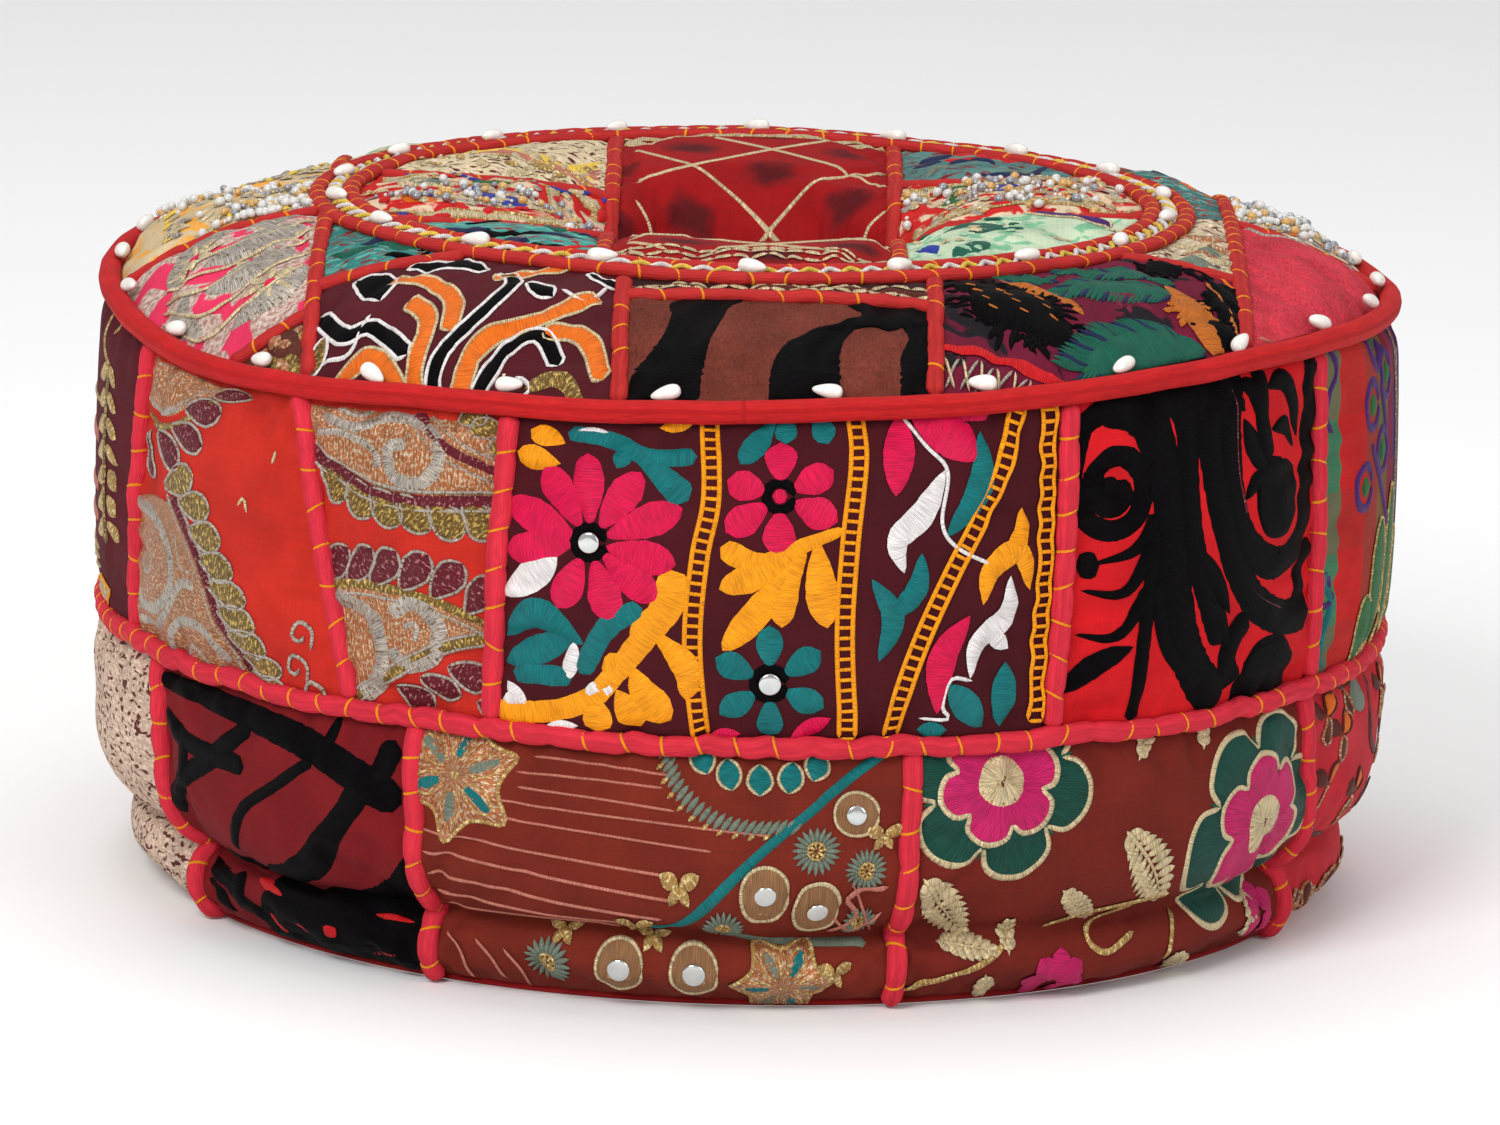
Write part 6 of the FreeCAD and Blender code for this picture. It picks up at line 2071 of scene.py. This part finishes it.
def add_pearls():
    """Small glass beads sewn in drifts over the beadwork patches."""
    rng = random.Random(SEED + 2)
    glass = {
        key: hard_material("glass_" + key, rgb, 0.2, 0.3 if key == "steel" else 0.0, 900.0, 0.0001, 0.5)
        for key, rgb in PEARL_COLOURS.items()
    }
    for name, (low_x, high_x, low_y, high_y), count, mix in PEARL_FIELDS:
        sheaf = Sheaf()
        reach = (188.0, 262.0) if name.startswith("top") else (20.0, 168.0)
        drifts = [(rng.uniform(low_x, high_x), rng.uniform(low_y, high_y)) for _ in range(9)]
        for number in range(count):
            middle = drifts[number % len(drifts)]
            x = min(high_x, max(low_x, rng.gauss(middle[0], 10.0)))
            y = min(high_y, max(low_y, rng.gauss(middle[1], 10.0)))
            radius = math.hypot(x, y)
            size = rng.choice((0.9, 1.1, 1.4, 1.8)) if number % 5 else 2.3
            if not reach[0] + size < radius < reach[1] - size:
                continue
            theta, rise = np.array(math.atan2(x, -y)), np.array(size * 0.7 + 0.5)
            spot, up = on_cover(cover.top_row(radius), theta, rise)
            up = unit(up)
            along = unit(np.cross(up, [math.cos(number), math.sin(number), 0.0]))
            steps = np.linspace(0, math.pi, 7)
            profile = [(-size * math.cos(t), max(0.02, size * 0.9 * math.sin(t))) for t in steps]
            add_turned(sheaf, mix[number % len(mix)], spot, along, up, profile, 9)
        sheaf.build("beads_" + name.split("_patch_")[-1], glass.get)


# Patch, place, radius of each little mirror.
MIRROR_SPOTS = [
    ("upper_patch_mirror_flowers", (44, 199), 4.4), ("upper_patch_mirror_flowers", (117, 145), 4.6),
    ("lower_patch_star_mirror", (192, 89), 4.2), ("lower_patch_star_mirror", (156, 58), 4.6),
    ("lower_patch_star_mirror", (178, 52), 4.6), ("lower_patch_star_mirror", (96, 20), 4.8),
    ("lower_patch_star_mirror", (128, 20), 4.8),
]


def add_mirrors():
    silver = hard_material("mirror_glass", (214, 216, 214), 0.12, 0.95, 160.0, 0.0002)
    patches = {patch.name: patch for patch in side_patches()}
    sheaf = Sheaf()
    for name, place, radius in MIRROR_SPOTS:
        row, theta = patches[name].locate(np.array(place, float))
        centre, up = on_cover(row, theta, np.array(1.5))
        up = unit(up)
        along = unit(np.cross(up, [0.0, 0.0, 1.0]))
        profile = [
            (0.0, radius), (0.35, radius - 0.1), (0.62, radius - 0.6), (0.75, radius * 0.5), (0.8, 0.05),
        ]
        add_turned(sheaf, "mirror", centre, up, along, profile, 24)
    stand_for(sheaf.build("sewn_mirrors", lambda key: silver), "mirror_discs")


def add_button():
    """The covered button at the bottom of the well, its cloth gathered at the edge."""
    low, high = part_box("tuft_button")
    wide, top, bottom = (high.x - low.x) / 2 / MM, high.z / MM, low.z / MM
    rings, angle, rows = 14, circle(60), []
    for k in range(rings):
        turn = k / (rings - 1) * math.pi * 0.5
        pleat = 1 + 0.035 * np.cos(angle * BUTTON_PLEATS) * math.cos(turn) ** 1.5
        radius = wide * math.cos(turn) ** 0.6 * pleat
        rows.append(turned(radius, angle, bottom + (top - bottom) * math.sin(turn)))
    points = np.stack(rows)
    cloth = cloth_material("button_cloth", (176, 26, 30))
    faces = grid_faces(rings, len(angle))
    stand_for(new_object("tuft_button_cloth", points, faces, [cloth], points[..., :2]), "tuft_button")


# ---------------------------------------------------------------- lining, casing, stuffing, base
SHELL_STEP = 2
TIE_HOLE = 2.4
# How much deeper the lining lies under the well, where the cloth is drawn inwards.
WELL_CLEARANCE = 5.0
ZIP_LINE = 112.0
ZIP_NEAR, ZIP_FAR = 33.0, 46.0
TAB_START, BARTACK_START = 179.0, 188.7
BASE_RADIUS = 239.0
# Node, how far under the cover it lies, and the height of its underside.
SHELLS = [("inner_casing", 4.0, 5.0), ("stuffing_core", 5.4, 6.4)]


def ease(share):
    """A smooth step from 0 to 1."""
    share = np.clip(share, 0, 1)
    return share * share * (3 - 2 * share)


def under_cover(low, depth):
    """A coarse grid that follows the cover from a height on the side down to the well."""
    rows = np.arange(cover.side_row(low), cover.rows - 1.0, 1.0)
    height = np.interp(rows, np.arange(cover.rows), cover.height)
    radius = np.interp(rows, np.arange(cover.rows), cover.radius)
    on_side = rows < cover.rim_row
    deeper = 7.0 * bell(height, CREASE[1] + 2.0, 15.0) + 2.0 * bell(height, TIER_SEAM[1], 8.0)
    deeper = deeper * on_side + WELL_CLEARANCE * ease((110.0 - radius) / 30.0)
    theta = np.arange(0, cover.columns, SHELL_STEP) * 2 * math.pi / cover.columns
    row, angle = np.meshgrid(rows, theta, indexing="ij")
    column = angle / (2 * math.pi) * cover.columns
    under = (depth + deeper)[:, None, None]
    points = cubic(cover.rest, row, column) - cubic(cover.rest_normals, row, column) * under
    points[-1, :, :2] = turned(TIE_HOLE, theta, 0.0)[:, :2]
    return points, theta


def add_shells(cotton):
    """The lining, the casing and the stuffing, drawn to follow the cover they sit under."""
    points, _ = under_cover(17.0, 2.4)
    faces = grid_faces(*points.shape[:2])
    piece = new_object("lining_cloth", points, faces, [cotton], points[..., :2])
    thicken(piece)
    stand_for(piece, "cotton_lining")
    for name, depth, base in SHELLS:
        upper, theta = under_cover(14.0, depth)
        radius = np.linspace(TIE_HOLE, 236.0, 36)
        x, y, _ = np.moveaxis(turned(radius[:, None], theta, 0.0), -1, 0)
        over_zip = ease((ZIP_FAR - np.abs(y - ZIP_LINE)) / (ZIP_FAR - ZIP_NEAR))
        over_anchor = ease((26.0 - np.hypot(x, y)) / 5.0)
        z = base + np.maximum(8.6 * over_zip, 4.0 * over_anchor)
        points = np.concatenate([np.stack([x, y, z], -1), upper])
        points = np.concatenate([points, points[:1]])
        hollow = name == "inner_casing"
        finish = cotton if hollow else calico("cotton_stuffing", (226, 220, 206), 400.0)
        faces = grid_faces(*points.shape[:2])
        piece = new_object(name + "_filled", points, faces, [finish], points[..., :2])
        if hollow:
            thicken(piece)
        stand_for(piece, name)


def canvas_height(x, y):
    """Underside of the base canvas: flat with slack, then ramped up to the zip."""
    ramp = 6.5 * ease((28.0 - np.abs(y - ZIP_LINE)) / 14.0)
    slack = np.sin(x / 29.0 + 1.7 * np.sin(y / 47.0)) * np.sin(y / 37.0 + 1.3 * np.sin(x / 53.0))
    return 0.75 + 0.6 * slack * (1 - ramp / 6.5) + ramp


def add_panels(canvas):
    """The two canvas panels under the pouf, each with a folded hem beside the zip."""
    for name, low, high in (
        ("base_panel_main", -BASE_RADIUS + 0.6, 104.0), ("base_panel_flap", 120.0, BASE_RADIUS - 0.6),
    ):
        y = np.linspace(low, high, int((high - low) / 4.0))[:, None]
        x, y = np.broadcast_arrays(np.sqrt(BASE_RADIUS ** 2 - y ** 2) * np.linspace(-1, 1, 100), y)
        hem = 0.7 * (np.abs(y - ZIP_LINE) < 16.5)
        points = np.stack([x, y, np.maximum(0.1, canvas_height(x, y) - hem)], -1)
        faces = grid_faces(*x.shape, False)[:, ::-1]
        piece = new_object(name + "_cloth", points, faces, [canvas], points[..., :2])
        thicken(piece, 1.3)
        stand_for(piece, name)


def add_tabs(canvas):
    """A patch of canvas over each end of the zip."""
    for name, end in (("left", -1), ("right", 1)):
        y = np.linspace(102.5, 121.5, 9)[:, None]
        far = np.sqrt(BASE_RADIUS ** 2 - y ** 2) - 1.0
        x, y = np.broadcast_arrays(TAB_START + (far - TAB_START) * np.linspace(0, 1, 14), y)
        sag = 0.25 * np.sin(x / 5.0) * np.sin(y / 4.0)
        points = np.stack([x * end, y, 5.35 + sag], -1)
        faces = grid_faces(*x.shape, False)[:, :: -end]
        piece = new_object("zip_tab_" + name, points, faces, [canvas], points[..., :2])
        thicken(piece, 0.8)


def add_base_stitches():
    """A bar of stitches across each tab, and a double row along both hems."""
    sheaf, down = Sheaf(), np.tile([0.0, 0.0, -1.0], (5, 1))
    for end in (-1, 1):
        for k in range(18):
            run = np.linspace(0, 1, 5)
            x = end * (BARTACK_START + 2.4 * ((run + k) % 2 if k % 2 == 0 else 1 - run))
            points = np.stack([x, 103.5 + 0.95 * (k + run), np.full(5, 4.95)], -1)
            tube(sheaf, points, down, np.full(5, 0.4), "wrap", False, run * 3, 6)
    for line in (ZIP_LINE - 10.0, ZIP_LINE - 14.5, ZIP_LINE + 10.0, ZIP_LINE + 14.5):
        half = math.sqrt(BASE_RADIUS ** 2 - line ** 2) - 6.0
        for x in np.arange(-half, half, 5.0):
            run = np.linspace(x, x + 3.4, 5)
            z = canvas_height(run, np.full(5, line)) - 0.75
            points = np.stack([run, np.full(5, line), z], -1)
            tube(sheaf, points, down, np.array([0.15, 0.5, 0.55, 0.5, 0.15]), "wrap", False, run, 6)
    sheaf.build("base_hem_stitches", CORD_MATERIALS.get)


# ---------------------------------------------------------------- pieces kept from the frame


def calico(name, rgb, scale=900.0):
    """Plain woven cotton for the hidden pieces, woven in the object's own space, with painted shade of soft
    creases.
    """
    material, tree, shader = new_material(name)
    place = node(tree, "TexCoord", out=3)
    waves = [maths(tree, "SINE", maths(tree, "MULTIPLY", axis, scale * 2)) for axis in split(tree, place)]
    weave = maths(tree, "ADD", maths(tree, "MULTIPLY", waves[0], waves[1]), waves[2])
    slubs = noise(tree, place, scale / 4, 4.0)
    # painted shade: broad patches darker and lighter, as the shade and light of creases would fall; the
    # shape has no such creases
    painted_crease_shade = noise(tree, place, 14.0, 3.0, 0.8)
    tone = between(tree, slubs, 0.3, 0.7, 0.84, 1.1)
    tone = maths(tree, "MULTIPLY", tone, between(tree, painted_crease_shade, 0.3, 0.7, 0.9, 1.06))
    grey = node(tree, "CombineColor", inputs={0: tone, 1: tone, 2: tone})
    colour = blend_colour(tree, 1.0, linear(rgb), grey, "MULTIPLY")
    height = maths(tree, "ADD", maths(tree, "MULTIPLY", weave, 0.25), slubs)
    finish_shader(tree, shader, colour, height, 0.45, 0.0005, 0.9, 0.2)
    return material


def dress_kept_nodes():
    metal = hard_material("zip_metal", (176, 142, 84), 0.34, 1.0, 700.0)
    coil = hard_material("zip_coil", (128, 32, 34), 0.4, 0.0, 500.0)
    finishes = {
        "tuft_cord": calico("tie_cord", (180, 158, 126), 1600.0),
        "tuft_anchor": hard_material("anchor_plastic", (192, 188, 178), 0.5, 0.0, 300.0),
        "zip_tapes": calico("zip_tape", (132, 30, 32), 1800.0), "zip_teeth": coil, "zip_stops": metal,
        "zip_slider": metal, "zip_pull": metal,
    }
    for name, material in finishes.items():
        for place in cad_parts[name].material_slots:
            place.material = material


# ---------------------------------------------------------------- floor, light and camera
CAMERA_DISTANCE = 4.5
CAMERA_HEIGHT_DEG = 12.1
CAMERA_ROLL_DEG = 1.56
CAMERA_AIM = (0.0, 0.0, 0.135)
CAMERA_LENS = 250.2
CAMERA_SHIFT = (0.005, -0.0013)
WORLD_LIGHT = 0.55
# Name, place, size and power of each area light. All of them face LIGHT_AIM.
LIGHTS = [
    ("key", (-1.3, -2.8, 2.3), 1.5, 88.0),
    ("fill", (2.4, -2.6, 1.5), 2.0, 34.0),
    ("top", (0.0, 0.6, 3.2), 2.4, 40.0),
]
LIGHT_AIM = (0.0, 0.0, 0.15)
# The floor is clear when seen from below, and under the base, so that the base can be looked at.
FLOOR_HOLE = 0.2435
FLOOR_REACH = 40.0


def add_floor():
    floor = bpy.data.meshes.new("floor")
    corners = [(-1, -1), (1, -1), (1, 1), (-1, 1)]
    floor.from_pydata([(x * FLOOR_REACH, y * FLOOR_REACH, 0) for x, y in corners], [], [(0, 1, 2, 3)])
    thing = bpy.data.objects.new("floor", floor)
    bpy.context.scene.collection.objects.link(thing)
    material, tree, shader = new_material("floor")
    shader.inputs["Base Color"].default_value = (0.9, 0.9, 0.9, 1)
    shader.inputs["Roughness"].default_value = 0.9
    clear = tree.nodes.new("ShaderNodeBsdfTransparent")
    either = tree.nodes.new("ShaderNodeMixShader")
    facing = tree.nodes.new("ShaderNodeNewGeometry")
    distance = tree.nodes.new("ShaderNodeVectorMath")
    distance.operation = "LENGTH"
    tree.links.new(facing.outputs["Position"], distance.inputs[0])
    under = maths(tree, "LESS_THAN", distance.outputs["Value"], FLOOR_HOLE)
    tree.links.new(maths(tree, "MAXIMUM", facing.outputs["Backfacing"], under), either.inputs[0])
    tree.links.new(shader.outputs[0], either.inputs[1])
    tree.links.new(clear.outputs[0], either.inputs[2])
    tree.links.new(either.outputs[0], tree.nodes["Material Output"].inputs[0])
    floor.materials.append(material)


def add_lights():
    world = bpy.data.worlds.new("studio")
    bpy.context.scene.world = world
    world.use_nodes = True
    background = world.node_tree.nodes["Background"]
    background.inputs[0].default_value = (1.0, 1.0, 1.0, 1)
    background.inputs[1].default_value = WORLD_LIGHT
    for name, place, size, power in LIGHTS:
        light = bpy.data.lights.new(name, "AREA")
        light.size = size
        light.energy = power
        lamp = bpy.data.objects.new(name, light)
        lamp.location = place
        way = Vector(LIGHT_AIM) - Vector(place)
        lamp.rotation_mode = "QUATERNION"
        lamp.rotation_quaternion = way.to_track_quat("-Z", "Y")
        bpy.context.scene.collection.objects.link(lamp)


def add_camera():
    camera = bpy.data.cameras.new("camera")
    camera.lens = CAMERA_LENS
    camera.sensor_width = 36.0
    camera.clip_end = 100.0
    camera.shift_x, camera.shift_y = CAMERA_SHIFT
    thing = bpy.data.objects.new("camera", camera)
    tilt, roll = math.radians(CAMERA_HEIGHT_DEG), math.radians(CAMERA_ROLL_DEG)
    back = Vector((0, -math.cos(tilt), math.sin(tilt)))
    right, up = Vector((1, 0, 0)), Vector((0, math.sin(tilt), math.cos(tilt)))
    rolled = right * math.cos(roll) + up * math.sin(roll)
    upright = up * math.cos(roll) - right * math.sin(roll)
    matrix = Matrix((rolled, upright, back)).transposed().to_4x4()
    matrix.translation = Vector(CAMERA_AIM) + back * CAMERA_DISTANCE
    thing.matrix_world = matrix
    bpy.context.scene.collection.objects.link(thing)
    bpy.context.scene.camera = thing


add_patches()
add_cords()
add_welt()
add_track_thread()
add_beads()
add_pearls()
add_mirrors()
add_button()
add_shells(calico("plain_cotton", (210, 198, 178)))
base_canvas = cloth_material("base_canvas_cloth", (128, 96, 70), None, 1.4, 0.2, 0.1, 0.9, 0.7)
add_panels(base_canvas)
add_tabs(base_canvas)
add_base_stitches()
dress_kept_nodes()
add_floor()
add_lights()
add_camera()
bpy.context.scene.view_settings.view_transform = "Standard"
